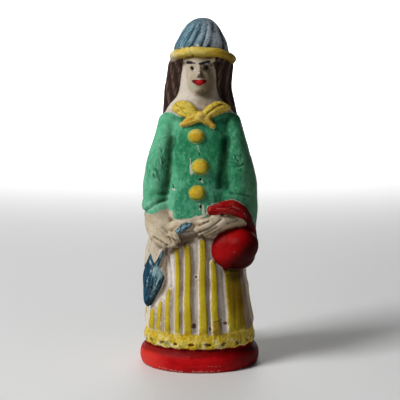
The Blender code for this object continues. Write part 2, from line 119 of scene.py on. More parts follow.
HAIR = (
    (106, 13, 8, 0, 9),
    (112, 18.2, 10.4, 0, 7.4),
    (117, 20, 11, 0.2, 6.6),
    (121, 19.5, 11.2, 0, 6),
    (127, 18.4, 11.2, -0.3, 5.4),
    (134, 17.4, 11.2, -0.7, 5),
    (142, 17, 11.6, 0.2, 4.4),
    (148, 16.6, 12.6, 0.9, 3),
    (152, 14.6, 12.8, 1, 1.6),
)
HAT = (
    (147, 13.6, 13.2, 1, 0.6),
    (154, 14.2, 13.4, 0.9, 0.6),
    (157.7, 13.2, 12.6, 1, 0.6),
    (162, 10.9, 10.6, 1, 0.5),
    (165.5, 8.6, 8.4, 1.2, 0.4),
    (168.2, 5.7, 5.5, 1.5, 0.3),
    (169.6, 3.2, 3, 1.9, 0.2),
    (170, 1.4, 1.4, 2.2, 0.2),
)

# The hat's rolled band: how far it stands out and up, its place, its thickness, and how it droops at both
# sides, more at her left, and behind
BAND_OUTSET = 1.6
BAND_LIFT = 4.4
BAND_X, BAND_Y = 1.7, 0.4
BAND_HALF_WIDTH = 2.2
BAND_HALF_RISE = 2.9
BAND_DROOP, BAND_TILT, BAND_REAR_DROOP = 1.1, 0.6, 0.6
BAND_SPAN = 14.6  # from its middle to where its sides turn away

# The skirt's ridges in front, in degrees from there towards her left: the place and half width of each at the
# hem, the same halfway up, and the height that it reaches
RIDGES = (
    (-62.5, 5.5, -62.5, 3.6, 20.5),
    (-49.8, 3.8, -51.6, 2.8, 25.5),
    (-38.4, 3.6, -40.4, 2.8, 32.5),
    (-25.6, 3.5, -28.4, 3.4, 60),
    (-13.6, 4.8, -15, 4.4, 55.6),
    (4.1, 5, 4, 4.6, 58.6),
    (19.2, 4.7, 18, 4, 47.6),
    (46.6, 12.4, 47.2, 14.2, 90),
)
BACK_RIDGES = 16
FIRST_BACK_RIDGE = 97.5
BACK_RIDGE_SPACING = 11
BACK_RIDGE_LOW, BACK_RIDGE_MIDDLE, BACK_RIDGE_TOP = 4, 3.6, 90  # half widths, and the height it reaches
RIDGE_LOW, RIDGE_MIDDLE = 12, 43
RIDGE_RISE = 1.8
DEGREE = 0.44  # length of a degree along the skirt
HEM_HEIGHT = 9.4
HEM_HOLES = 22
HEM_HOLE_HEIGHT = 4.2
HEM_HOLE_HALVES = (1.8, 2.6, 1.15)  # half width, half depth and half rise
FIRST_HEM_HOLE = -8  # degrees from the front
VENT_PLACE = (-1.7, 38.3)
VENT_BORE = 1.2
VENT_LENGTH = 6
HAT_FLUTES = 14
FLUTES_START, FLUTES_END = 163, 169.5
FLUTE_SLANT = 2.1  # degrees in a unit of height
HAIR_LOCKS = 22
COLLAR_HEIGHT = 121.4
HAT_FOOT = 152.5  # what shows of the hat below this is painted like the hair

# Where the umbrella faces, in degrees from the front
UMBRELLA_SIDE = -45

BUTTON_HALF_DEPTH = 3.2

# The buttons down her front: place, half width and half rise of each
BUTTONS = ((-1.5, 109, 3.9, 3.3), (0.5, 93.7, 4.1, 3.7), (-1.2, 80.8, 3.9, 3.5))

# Creases pressed with a stick: depth, half width and their course over the front
FURROWS = (
    # the jacket and its cuffs
    (1.2, 3.2, ((-13.2, 107), (-14.8, 101.5), (-14.4, 96), (-14.8, 91), (-16.6, 85), (-18, 80.6))),
    (1.2, 3.2, ((13.8, 107), (13.2, 102), (11.8, 93), (10.6, 84))),
    (1.2, 1.6, ((-28.6, 70.6), (-23, 74.8), (-17.1, 77.3))),
    (0.5, 1.4, ((-24.6, 79), (-16.4, 80.6))),
    (1, 1.5, ((15.8, 81.1), (20.5, 80.4), (25.2, 78.8))),
    # the sleeves
    (0.5, 1, ((-19.2, 101.5), (-17.6, 97.5), (-18.6, 94), (-16.6, 91))),
    (0.45, 0.9, ((-22.6, 91.4), (-20.4, 87.4))),
    (0.45, 0.8, ((-20.6, 91.4), (-21.8, 87.8))),
    (0.5, 0.9, ((18.2, 98.8), (20, 95.2))),
    (0.45, 0.9, ((17.9, 94.2), (21.8, 94.9))),
    (0.4, 0.8, ((21.2, 99.6), (20.4, 96.2))),
    # the eyes, the mouth and the chin
    (0.45, 2.6, ((-3.9, 143.6), (-3.6, 143.6))),
    (0.5, 2.8, ((3, 143.3), (3.4, 143.3))),
    (0.35, 0.7, ((-3.4, 136.9), (3.2, 136.8))),
    (0.4, 1.5, ((-1.2, 133.5), (1.6, 133.5))),
    # the band
    (0.45, 1.1, ((-5, 153.6), (-3.4, 149.4))),
    (0.3, 1, ((-7.4, 153.4), (-6, 150.2))),
    # the bow
    (0.55, 1.1, ((-12.2, 124.4), (-7.5, 122.9), (-3.4, 120.6))),
    (0.45, 0.9, ((-11.4, 121.6), (-4.6, 119.2))),
    (0.8, 1, ((4, 120.4), (8, 123.6), (11.6, 125.2))),
    (0.5, 0.9, ((6, 119.2), (12.8, 122))),
    (0.45, 0.9, ((2.4, 117.6), (6, 114.6))),
    (0.45, 0.9, ((-3, 117.6), (-8.4, 115.6))),
    (0.5, 0.8, ((-1.8, 121), (0.4, 119), (2.6, 116.6))),
    (0.45, 0.8, ((-3.6, 118.4), (0.4, 119), (3.4, 118.8))),
    (0.4, 0.8, ((-9.8, 126.2), (-6, 125), (-2.8, 121.8))),
    (0.4, 0.7, ((1.2, 117.4), (4.8, 113.8))),
    (0.4, 0.7, ((8.8, 126), (13.6, 124.6))),
    # her left hand
    (0.8, 0.9, ((-0.7, 61.2), (3.8, 63), (7.7, 65.3), (11.1, 68))),
    (0.8, 0.9, ((0.8, 59.6), (8.8, 64.1))),
    (0.6, 0.9, ((2.2, 58.5), (11.1, 63))),
    (0.8, 1, ((13.9, 65.6), (19, 67))),
    (0.8, 0.9, ((-0.2, 65), (4.7, 67))),
    # her right hand
    (1, 1.3, ((-23, 58.2), (-18.7, 55.5), (-16.4, 54.2))),
    (0.6, 0.8, ((-13.6, 59.6), (-12, 56.2))),
    (0.7, 0.8, ((-15.4, 59), (-13.9, 55.6))),
    (0.5, 0.8, ((-11.8, 60), (-10.9, 57.3))),
    (0.7, 0.7, ((-16.4, 59), (-11, 56.6))),
    # beside and on the umbrella
    (0.6, 1, ((-15.8, 49), (-14.8, 42), (-14.4, 33))),
    (0.5, 1.2, ((-18.4, 63.4), (-15.8, 60.6))),
    (0.6, 1.2, ((-16.6, 54.4), (-16.9, 49.5), (-19.8, 43))),
    (0.5, 1.2, ((-24.4, 57), (-26.4, 50))),
    (0.7, 1.3, ((-23.4, 44.3), (-25.6, 36), (-27.2, 27))),
    (0.5, 1.2, ((-20.8, 41), (-23, 33), (-25.4, 25))),
    # the strap, and the skirt below the bag
    (0.6, 1, ((8.5, 73.6), (13.4, 74), (19.4, 72.2), (23.6, 67.5))),
    (0.45, 1.1, ((16.3, 46), (17.4, 12))),
    (0.45, 1.1, ((19.4, 42), (20.6, 12))),
)

# What the brush covered in front, whatever form lies there: corners of each outline
UMBRELLA_OUTLINE = (
    (-24.9, 49.6), (-23.4, 44.4), (-22.6, 44.6), (-18.6, 51.9), (-17.6, 50.2), (-20.6, 43.2), (-19.8, 41),
    (-17.6, 37.4), (-19.8, 31.4), (-22.8, 25.8), (-24.8, 21.6), (-27.4, 19.6), (-31, 24), (-32, 34),
    (-28.6, 41.6),
)
RIGHT_HAND_OUTLINE = (
    (-30, 63), (-24, 69.2), (-19.5, 71.7), (-15.4, 72.1), (-13.6, 70.6), (-13.4, 67), (-11, 65.6),
    (-16, 58), (-28, 56),
)
LAP_OUTLINE = (
    (-13.6, 67.6), (-11.3, 66.4), (-8, 66.6), (-3.9, 67.9), (-1.7, 69.2), (-0.6, 68.8), (2, 69.6),
    (2, 62), (-13, 60),
)
HANDLE_OUTLINE = (
    (-12.4, 62.2), (-8.8, 65.3), (-6.4, 66.3), (-3.6, 66), (-4.6, 63.8), (-8.2, 61.6), (-10.4, 60.4),
)

# Painted shade in the sleeves' stick dents, painted highlights on the welts beside them: both ends and the
# half widths there
SLEEVE_DENT_SHADES = (
    ((-19.4, 102.7), (-19.2, 101.2), 0.4, 0.3), ((-19.6, 98.6), (-18.8, 96.1), 0.25, 0.35),
    ((-18.8, 96.1), (-17.8, 94.8), 0.35, 0.2), ((-17.7, 93.5), (-16.5, 93.9), 0.35, 0.3),
    ((-17.6, 97.4), (-17, 96), 0.25, 0.2), ((-22.1, 92.6), (-21.1, 90.1), 0.45, 0.25),
    ((-21.1, 90.1), (-20.2, 86.6), 0.2, 0.35), ((-23.5, 89.9), (-23, 88.6), 0.4, 0.25),
    ((-18.6, 108.1), (-16.8, 108.6), 0.22, 0.22), ((17.7, 99.6), (18, 98.8), 0.35, 0.2),
    ((19.2, 99.8), (19.7, 99), 0.35, 0.2), ((17.9, 97.5), (19.4, 96.7), 0.18, 0.18),
    ((17.5, 93.7), (19.8, 93.8), 0.22, 0.25), ((19.8, 93.8), (22.3, 95.1), 0.3, 0.6),
)
SLEEVE_WELT_HIGHLIGHTS = (
    ((-20.3, 98.4), (-19.3, 94.9), 0.3, 0.4), ((-16.4, 96.6), (-15.9, 94.5), 0.35, 0.3),
    ((-23, 91.4), (-21.1, 86.8), 0.35, 0.25), ((-18.8, 108.9), (-16.6, 109.5), 0.3, 0.3),
    ((-20.2, 104.6), (-18.6, 103.6), 0.3, 0.25), ((17.1, 98.6), (18.5, 96.1), 0.25, 0.22),
    ((18.5, 96.1), (20.5, 95.3), 0.22, 0.22), ((18.5, 98.7), (19.7, 97.6), 0.22, 0.2),
    ((19.7, 97.6), (20.6, 98.7), 0.2, 0.22), ((19.6, 92.9), (22.4, 93.8), 0.25, 0.35),
)

# Brush strokes, smears, chips and painted light and shade over the front: both ends of each and its half
# widths there
# Painted shade in the grooves between the sleeves and the body
GULLY_SHADES = (
    ((12.6, 106), (11.6, 86), 1.2, 2.8), ((-14.4, 102), (-16.8, 84), 0, 0.4),
)
# Painted highlights on the umbrella and its handle
UMBRELLA_GLEAMS = (
    ((-19.6, 39), (-25.8, 26), 0.6, 0.3), ((-25.4, 45.6), (-24.4, 43.4), 0.5, 0.4),
    ((-26.4, 37), (-27.2, 31), 0.2, 0.05), ((-18.6, 50.8), (-21, 45.2), 0.15, 0.05),
    ((-11.2, 62), (-5, 65.4), 0.15, 0.2),
)
# Painted highlights on the strap
STRAP_GLINTS = (
    ((8.6, 73.4), (12.4, 73.4), 0.22, 0.12), ((16.6, 74.4), (19.8, 72.8), 0.3, 0.14),
    ((22.4, 70.4), (23.8, 68), 0.25, 0.12),
)
# Painted shade in the strap's folds
STRAP_PLEAT_SHADES = (
    ((5.4, 71.4), (13, 72), 0.5, 0.6), ((13, 72), (24.6, 65.6), 0.6, 0.9),
)
BAND_SHADOW = (
    ((-8, 148), (-3, 148.9), 0.3, 0.5), ((-3, 148.9), (7.8, 148.4), 0.5, 0.4),
)
EYE_RIMS = (
    ((0.7, 145), (0.5, 143.2), 0.25, 0.28), ((0.5, 143.2), (1.6, 141.4), 0.28, 0.15),
    ((1.6, 141.4), (4.4, 141), 0.15, 0.18), ((4.4, 141), (6, 143), 0.18, 0.15),
    ((-2.2, 144.4), (-1.4, 142), 0.06, 0.06), ((-5.4, 142.6), (-3, 141.4), 0.04, 0.04),
)
BROWS = (
    ((-5.9, 146.2), (-4, 146), 0.85, 0.7), ((-4, 146), (-2.2, 145.6), 0.55, 0.2),
    ((0.2, 145.3), (4.9, 146.6), 0.62, 0.48),
)
# Painted shade in the creases of the hands
HAND_CREASE_SHADES = (
    ((-0.3, 61.4), (3.8, 63), 0.2, 0.12), ((3.8, 63), (11.1, 68), 0.25, 0.05),
    ((1.1, 59.6), (8.8, 64.1), 0.25, 0.05), ((2.2, 58.5), (11.1, 63), 0.25, 0.05),
    ((13.9, 65.6), (19, 67), 0.25, 0.05), ((-15.1, 58.6), (-13.9, 55.6), 0.25, 0.05),
    ((-13.4, 59.2), (-12, 56.2), 0.25, 0.05), ((-11.8, 59.8), (-10.9, 57.3), 0.25, 0.05),
    ((-19.4, 61.6), (-16.4, 58.6), 0.25, 0.05),
)
CHIPS = (
    ((-4.7, 98), (-4, 90.8), 0.2, 0.8), ((-0.9, 104.6), (0.3, 99.4), 0.22, 0.16),
    ((1, 87), (1.5, 86), 0.55, 0.35), ((0, 75.4), (0.2, 72.6), 0.25, 0.3),
    ((1.6, 74.8), (2, 70.4), 0.25, 0.7), ((-13.4, 82.4), (-12.8, 82), 0.5, 0.55),
    ((-13.8, 121), (-9.8, 119.4), 0.4, 0.8),
)
SOOT_STROKES = (
    ((-13.5, 84.6), (-13.2, 83.2), 0.3, 0.35), ((-0.3, 101.2), (0.3, 99.4), 0.22, 0.22),
)
OCHRE_EDGES = (
    ((11.2, 15.6), (11.4, 8.8), 0.12, 0.2), ((7, 15.4), (7, 9.2), 0.1, 0.1),
)
# Painted shadow of the hands on the skirt below them
HAND_SHADOW = (
    ((-14.2, 50.4), (-9, 57), 1.1, 1.9), ((-9, 57), (-1.8, 59.2), 1.9, 1.6),
    ((-1.8, 59), (7, 57), 1.1, 0.8), ((-9.8, 54.6), (-3.6, 57), 1.7, 1.5),
)
CHIPPED_RIM = (
    ((-20.4, -8.3), (-8.8, -9.2), 0.3, 0.5), ((-3.3, -9), (10.9, -8.8), 0.7, 0.3),
    ((3.9, -6), (11, -6.6), 0.1, 0.35),
)
BARE_EDGES = (
    ((-13.4, 67.7), (-9.5, 66.3), 0.35, 0.3), ((-9.5, 66.3), (-3.9, 67.9), 0.3, 0.35),
    ((-3.9, 67.9), (3.2, 69.6), 0.35, 0.4), ((3.6, 70.4), (6, 75), 0.45, 0.35),
    ((6.1, 75.3), (12.4, 75.7), 0.3, 0.25), ((13.3, 77), (19.6, 75.6), 0.22, 0.12),
    ((-16.4, 71.8), (-13.6, 68.4), 0.4, 0.35),
)

# The whistle, as in the part's source
WHISTLE_LENGTH = 21
WHISTLE_WIDTH = 15
WHISTLE_THICKNESS = 14
WHISTLE_HEIGHT = 12
WHISTLE_RISE = 12
WINDWAY = (7, 10.5, 1.6)
WINDOW_LENGTH = 3.4
RAMP_LENGTH = 4.6
LIP_THICKNESS = 0.5
CHAMBER_BORE = 6
CHAMBER_LENGTH = 24


def at(x, y, z):
    """A place of the carving, in metres."""
    return Vector((x, y, BASE_THICKNESS + z)) * UNIT


def between(stations, height):
    """The section at a height, on a smooth curve through its neighbours."""
    last = len(stations) - 1
    if height <= stations[0][0]:
        return stations[0][1:]
    if height >= stations[last][0]:
        return stations[last][1:]
    i = max(k for k in range(last) if stations[k][0] <= height)
    before, low, high, after = (stations[min(max(k, 0), last)] for k in (i - 1, i, i + 1, i + 2))
    span = high[0] - low[0]
    t = (height - low[0]) / span
    values = []
    for a, b, c, d in zip(before[1:], low[1:], high[1:], after[1:]):
        start = (c - a) / (high[0] - before[0]) * span
        end = (d - b) / (after[0] - low[0]) * span
        value = (2 * t**3 - 3 * t**2 + 1) * b + (t**3 - 2 * t**2 + t) * start
        value += (3 * t**2 - 2 * t**3) * c + (t**3 - t**2) * end
        values.append(value)
    return values


def deselect():
    bpy.ops.object.select_all(action="DESELECT")


def pick(*objects):
    """Selects these objects alone, the last one active."""
    deselect()
    for obj in objects:
        obj.select_set(True)
    bpy.context.view_layer.objects.active = objects[-1]


def settle(obj, name):
    """Puts a piece's place, turn and scale into its mesh."""
    obj.name = obj.data.name = name
    pick(obj)
    bpy.ops.object.transform_apply(location=True, rotation=True, scale=True)
    return obj


def bridged(name, rings, sides):
    """A form through ovals, closed at both ends. A ring is its centre, its turn and its two half widths."""
    ovals = []
    for centre, turn, wide, deep in rings:
        deselect()
        bpy.ops.mesh.primitive_circle_add(vertices=sides, radius=UNIT, location=centre, rotation=turn)
        oval = bpy.context.object
        oval.scale = (wide, deep, 1)
        ovals.append(oval)
    pick(*ovals)
    bpy.ops.object.join()
    form = settle(bpy.context.object, name)
    bpy.ops.object.mode_set(mode="EDIT")
    bpy.ops.mesh.select_all(action="SELECT")
    bpy.ops.mesh.bridge_edge_loops()
    bpy.ops.mesh.select_all(action="SELECT")
    bpy.ops.mesh.fill_holes(sides=0)
    bpy.ops.mesh.select_all(action="SELECT")
    bpy.ops.mesh.normals_make_consistent(inside=False)
    bpy.ops.object.mode_set(mode="OBJECT")
    return form


def trunk(name, stations, step=1.5, sides=72):
    """An upright form through oval sections."""
    low, high = stations[0][0], stations[-1][0]
    count = math.ceil((high - low) / step)
    rings = []
    for k in range(count + 1):
        height = low + (high - low) * k / count
        half_width, half_depth, x, y = between(stations, height)
        rings.append((at(x, y, height), (0, 0, 0), half_width, half_depth))
    return bridged(name, rings, sides)


def limb(name, stations, sides=18, facing=0, steps=3):
    """A rounded form along stations of x, y, z, half width and half depth, facing so many degrees."""
    keyed = [(k, *station) for k, station in enumerate(stations)]
    count = (len(stations) - 1) * steps
    fine = [between(keyed, k / steps) for k in range(count + 1)]
    points = [at(*station[:3]) for station in fine]
    inward = Matrix.Rotation(math.radians(facing), 3, "Z") @ Vector((0, 1, 0))
    rings = []
    for k, (point, station) in enumerate(zip(points, fine)):
        along = (points[min(k + 1, count)] - points[max(k - 1, 0)]).normalized()
        first = along.cross(inward).normalized()
        second = along.cross(first).normalized()
        turn = Matrix((first, second, along)).transposed().to_euler()
        wide, deep = station[3:]
        rounding = [0]
        if k == 0:
            rounding = [-75, -50, -25, 0]
        if k == count:
            rounding = [0, 25, 50, 75]
        for degrees in rounding:
            push = math.sin(math.radians(degrees)) * min(wide, deep) * 0.8
            share = math.cos(math.radians(degrees))
            rings.append((point + along * push * UNIT, turn, wide * share, deep * share))
    return bridged(name, rings, sides)


def ball(name, centre, radii, turn=(0, 0, 0)):
    deselect()
    bpy.ops.mesh.primitive_uv_sphere_add(
        segments=32, ring_count=20, radius=UNIT, location=centre, rotation=turn
    )
    bpy.context.object.scale = radii
    return settle(bpy.context.object, name)


def on_front(stations, x, height, proud=0):
    """A place on the front of a form, standing proud by so many units."""
    half_width, half_depth, centre_x, centre_y = between(stations, height)
    across = min(max((x - centre_x) / half_width, -0.98), 0.98)
    return at(x, centre_y - half_depth * math.sqrt(1 - across**2) - proud, height)


def press_base():
    sections = [
        (height, BASE_WIDTH / 2 * share, BASE_DEPTH / 2 * share, 0, 0) for height, share in BASE_PROFILE
    ]
    return [trunk("base", sections, step=0.8, sides=96)]


def press_jacket():
    """The jacket with its sleeves, which lie along her sides, bend at the elbow and end in turned cuffs."""
    right = (
        (-15.8, -1, 116.5, 5.6, 8),
        (-17.8, -3, 108, 5.9, 10.4),
        (-20.2, -3.8, 96, 7.1, 12.4),
        (-22, -4.4, 83, 7.4, 12.6),
        (-22, -6.6, 74, 7, 11),
        (-21.8, -8.4, 68.4, 6.5, 8.6),
    )
    left = (
        (15.8, -1, 116.5, 5.6, 8),
        (17.8, -3, 108.5, 5.9, 10.4),
        (19, -3.8, 98, 7.7, 12.4),
        (19.6, -5, 87, 9.9, 13),
        (20.4, -5.6, 77, 9.7, 12.4),
        (21.6, -4.8, 68, 8.6, 11),
        (22.4, -3, 61, 7.2, 9),
    )
    return [
        trunk("jacket", JACKET),
        limb("right_sleeve", right, 32),
        limb("left_sleeve", left, 32),
        limb("right_cuff", ((-22.6, -7.6, 74.4, 7.2, 9.8), (-20.4, -10.6, 69, 7.8, 9.2)), 32),
        limb("left_cuff", ((20, -11.6, 79.6, 7, 6.6), (16.8, -16, 76, 7, 6)), 32),
    ]


def press_head():
    """The pale throat, collar and face."""
    nose = ((-0.1, -13.6, 145.4, 0.7, 0.7), (-0.1, -14.4, 142, 0.9, 1), (-0.1, -14.6, 139.9, 1.3, 1.5))
    lips = ((-3.4, -12.9, 136.8, 0.5, 0.7), (-0.2, -14.1, 136, 1.4, 1), (3.2, -12.9, 136.6, 0.5, 0.7))
    return [
        trunk("throat", NECK, step=1),
        trunk("face", FACE, step=0.8, sides=48),
        limb("nose", nose, 12),
        limb("lips", lips, 12),
        ball("chin", at(-0.3, -12.8, 132.7), (2.4, 1.6, 1.9)),
        ball("right_cheek", at(-3.4, -12, 138.8), (2.2, 1.6, 2.4)),
        ball("left_cheek", at(3.2, -12, 138.8), (2.2, 1.6, 2.4)),
    ]


def press_band():
    """The rolled band, a ring that droops to both sides and a little behind."""
    foot, half_width = HAT[0][:2]
    radius = half_width + BAND_OUTSET
    deselect()
    bpy.ops.mesh.primitive_torus_add(
        major_segments=72,
        minor_segments=20,
        major_radius=radius * UNIT,
        minor_radius=BAND_HALF_WIDTH * UNIT,
        location=at(BAND_X, BAND_Y, foot + BAND_LIFT),
    )
    band = bpy.context.object
    band.scale.z = BAND_HALF_RISE / BAND_HALF_WIDTH
    settle(band, "hat_band")
    middle = at(0, 0, foot + BAND_LIFT).z
    for vertex in band.data.vertices:
        across = (vertex.co.x / UNIT - BAND_X) / radius
        behind = 1 - (BAND_Y - vertex.co.y / UNIT) / radius
        vertex.co.z = middle + (vertex.co.z - middle) * (0.8 - 0.06 * across**2)
        uneven = 0.22 * math.sin(across * 7 + 1)
        droop = BAND_DROOP * across**2 + BAND_TILT * across + BAND_REAR_DROOP * behind
        vertex.co.z -= (droop + uneven) * UNIT
    return [band]


def finger(name, start, end, thickness):
    """A finger from its knuckle to its tip, arched a little outwards."""
    middle = [(a + b) / 2 for a, b in zip(start, end)]
    middle[1] -= 0.6
    tip = thickness * 0.85
    stations = ((*start, thickness, thickness), (*middle, thickness, thickness), (*end, tip, tip))
    return limb(name, stations, 12)


def press_hands():
    """Both hands, and the cloth of the jacket's pale edge that shows between them."""
    right = (
        (-20.6, -11.6, 70.6, 7.4, 6.4),
        (-20, -14.6, 65, 8, 5.8),
        (-18.4, -17.4, 60, 7, 5),
        (-15.4, -19.4, 57, 5.2, 4.4),
    )
    left = (
        (21.4, -14.4, 66, 3, 4),
        (13.6, -19.4, 66.2, 3.5, 4.4),
        (8.6, -21.4, 65.2, 4.4, 4),
        (4.6, -21.8, 63.6, 4.8, 3.6),
        (1.6, -21.6, 62.6, 3.6, 3.2),
    )
    lap = ((-15, -18.6, 63, 3, 3), (-8, -20.8, 64.4, 3.2, 2.4), (0.5, -21.2, 65.6, 3.2, 2.6))
    return [
        limb("right_hand", right, 24),
        limb("lap", lap, 20),
        finger("right_finger_1", (-14.8, -22.6, 60.4), (-12.6, -23.6, 57.2), 1.35),
        finger("right_finger_2", (-12.6, -23.4, 60.4), (-10.2, -24.4, 57), 1.35),
        finger("right_finger_3", (-15.6, -21.6, 57.6), (-13.8, -22.6, 54.2), 1.3),
        finger("right_finger_4", (-13.2, -22.8, 57), (-11.4, -23.2, 54), 1.3),
        limb("left_hand", left, 24),
        finger("left_finger_1", (10, -22.8, 68.6), (1.2, -24.4, 66.6), 1.35),
        finger("left_finger_2", (10, -23.4, 66.6), (-2, -25, 62.6), 1.45),
        finger("left_finger_3", (10, -23.2, 64.4), (0, -24.7, 60.4), 1.35),
        finger("left_finger_4", (10, -22.4, 62.8), (3.2, -23.7, 58.9), 1.3),
    ]


def press_umbrella_cloth():
    """The pale upper part of the folded umbrella, below the fist."""
    cloth = ((-20, -14.6, 59, 6, 4.2), (-21.8, -12.8, 51, 6.8, 4.4), (-22.8, -11.8, 42, 7.2, 4.6))
    return [limb("umbrella_cloth", cloth, 24, UMBRELLA_SIDE)]


def press_umbrella():
    """The folded umbrella hangs point down, its open end in two peaks, with its handle above the fist."""
    canopy = (
        (-22.2, -13.4, 43.6, 4.6, 3.6),
        (-22.6, -13.2, 40, 6.8, 4.4),
        (-23.6, -12, 35, 7, 4.8),
        (-25, -10.2, 29, 4.8, 4),
        (-26.6, -8.6, 23.4, 2.3, 2.6),
        (-27, -8, 20.6, 0.8, 1),
    )
    outer = ((-25.8, -12.8, 41.5, 2.4, 2.2), (-24.9, -13, 49, 0.7, 1.8))
    inner = ((-22, -15.8, 41.5, 2.4, 2.2), (-18.2, -18.4, 51.4, 1, 2))
    handle = ((-11.6, -23, 61.6, 1.8, 2.8), (-4.8, -24, 65.2, 1.8, 2.8))
    return [
        limb("umbrella_canopy", canopy, 24, UMBRELLA_SIDE),
        limb("umbrella_outer_peak", outer, 14, UMBRELLA_SIDE),
        limb("umbrella_inner_peak", inner, 14, UMBRELLA_SIDE),
        limb("umbrella_handle", handle, 14),
    ]


def press_bag():
    """The round bag and the broad strap that carries it on the left arm."""
    point = ((13.6, -18.6, 44.6, 2.6, 2.6), (12.9, -18.6, 42.2, 1.2, 1.2))
    strap = (
        (5.6, -23, 72.2, 2.2, 1.9),
        (9, -23.6, 72.9, 2.5, 2.1),
        (12.4, -23.2, 73.8, 3.3, 2.2),
        (16.4, -21.8, 73.6, 3.5, 2.6),
        (20.4, -19, 71.6, 3.3, 2.8),
        (23.6, -15.4, 67.4, 3, 3),
        (26, -12, 62, 2.8, 2.9),
        (27.4, -10, 56.5, 2.4, 2.6),
    )
    return [
        ball("bag", at(16.9, -15, 52.7), (13.5, 10.8, 10.9), (0, math.radians(-12), 0)),
        ball("bag_belly", at(20.2, -13.8, 49), (8.6, 8.4, 8)),
        limb("bag_point", point, 14),
        limb("bag_strap", strap, 18),
    ]


def press_bow():
    """A flat bow of clay: two broad loops and two tails, each along places of x, height and half width."""
    right = ((-2.6, 119.8, 2.5), (-5.2, 121.9, 3.4), (-8, 123.1, 4), (-10.6, 123.7, 3.5), (-13, 123.3, 1.6))
    left = ((2.6, 119.7, 2.2), (5.2, 121.4, 2.9), (8.8, 123.5, 3.4), (11.8, 123.8, 2.7), (15.2, 123.5, 1.1))
    tails = {
        "right": ((-4.6, 117, 1.9), (-9.2, 115, 1.1)),
        "left": ((3.8, 116.9, 1.8), (7, 114.2, 1.2)),
    }
    made = [ball("bow_knot", at(0.2, -15.4, 119), (3, 2.6, 2.4))]
    for side, route in (("right", right), ("left", left)):
        stations = [(0.2, -15, 119, 1.9, 1.9)]
        stations += [(x, -15.2 + 0.032 * x**2, z, half, 1.7) for x, z, half in route]
        made.append(limb(f"bow_{side}_loop", stations, 18))
        stations = [(0.2, -15.4, 118.6, 1.7, 1.8)]
        stations += [(x, -15.6 + 0.02 * x**2, z, half, 1.6) for x, z, half in tails[side]]
        made.append(limb(f"bow_{side}_tail", stations, 16))
    return made


def press_buttons():
    return [
        ball(f"button_{k}", on_front(JACKET, x, height, 0.2), (width, BUTTON_HALF_DEPTH, rise))
        for k, (x, height, width, rise) in enumerate(BUTTONS)
    ]


def whistle_axes():
    """The mouthpiece's own axes: +Y towards the lips and +Z up, from its root in the back of the skirt."""
    half_depth = between(SKIRT, WHISTLE_HEIGHT)[1]
    root = at(0, half_depth, WHISTLE_HEIGHT)
    return Matrix.Translation(root) @ Matrix.Rotation(math.radians(WHISTLE_RISE), 4, "X")


def press_mouthpiece():
    """The stub that the player blows: oval, narrowing to its lips."""
    axes = whistle_axes()
    turn = (axes @ Matrix.Rotation(math.radians(-90), 4, "X")).to_euler()
    rings = []
    taper = ((-9, 1), (0, 1), (10.5, 0.94), (17, 0.86), (19.6, 0.79), (20.6, 0.72), (WHISTLE_LENGTH, 0.64))
    for along, share in taper:
        centre = axes @ Vector((0, along * UNIT, 0))
        rings.append((centre, turn, WHISTLE_WIDTH / 2 * share, WHISTLE_THICKNESS / 2 * share))
    return [bridged("mouthpiece", rings, 40)]


def apply_modifiers(obj):
    """Builds a piece's modifiers into its mesh."""
    pick(obj)
    for modifier in list(obj.modifiers):
        bpy.ops.object.modifier_apply(modifier=modifier.name)


def join(name, objects):
    pick(*objects)
    bpy.ops.object.join()
    return settle(bpy.context.object, name)


def press_together(forms):
    """Presses all forms into one skin of even grain, as the clay is in its mould, and softens it."""
    figure = join("painted_figurine", forms)
    remesh = figure.modifiers.new("press", "REMESH")
    remesh.mode = "VOXEL"
    remesh.voxel_size = CLAY_GRAIN * UNIT
    soften = figure.modifiers.new("soften", "SMOOTH")
    soften.factor = 0.5
    soften.iterations = SOFTENING_ROUNDS
    apply_modifiers(figure)
    return figure


def cut(figure, tool):
    """Cuts a tool's shape out of the clay."""
    modifier = figure.modifiers.new("cut", "BOOLEAN")
    modifier.operation = "DIFFERENCE"
    modifier.solver = "MANIFOLD"
    modifier.object = tool
    apply_modifiers(figure)
    bpy.data.objects.remove(tool)


def prick_hem(figure):
    """The pricked holes that run round the hem."""
    pricks = []
    for k in range(HEM_HOLES):
        angle = math.radians(FIRST_HEM_HOLE + 360 * k / HEM_HOLES)
        half_width, half_depth, x, y = between(SKIRT, HEM_HOLE_HEIGHT)
        place = at(x + half_width * math.sin(angle), y - half_depth * math.cos(angle), HEM_HOLE_HEIGHT)
        lean = math.radians(14 * math.sin(k * 2.1))
        width, depth, rise = HEM_HOLE_HALVES
        width += 0.3 * math.sin(k * 1.7)
        pricks.append(ball(f"prick_{k}", place, (width, depth, rise), (0, lean, angle)))
    cut(figure, join("pricks", pricks))


def rod(name, place, radius, length, sides):
    """A straight round rod along Y."""
    deselect()
    bpy.ops.mesh.primitive_cylinder_add(
        vertices=sides,
        radius=radius * UNIT,
        depth=length * UNIT,
        location=place,
        rotation=(math.radians(90), 0, 0),
    )
    return settle(bpy.context.object, name)


def pierce_vent(figure):
    """The pin hole in the front of the skirt."""
    cut(figure, rod("vent", on_front(SKIRT, *VENT_PLACE), VENT_BORE / 2, VENT_LENGTH, 16))


def block(name, low, high, axes):
    """A box between two corners in the mouthpiece's axes."""
    deselect()
    bpy.ops.mesh.primitive_cube_add(size=UNIT)
    box = bpy.context.object
    low, high = Vector(low), Vector(high)
    box.scale = high - low
    box.location = (low + high) / 2 * UNIT
    settle(box, name)
    box.data.transform(axes)
    return box


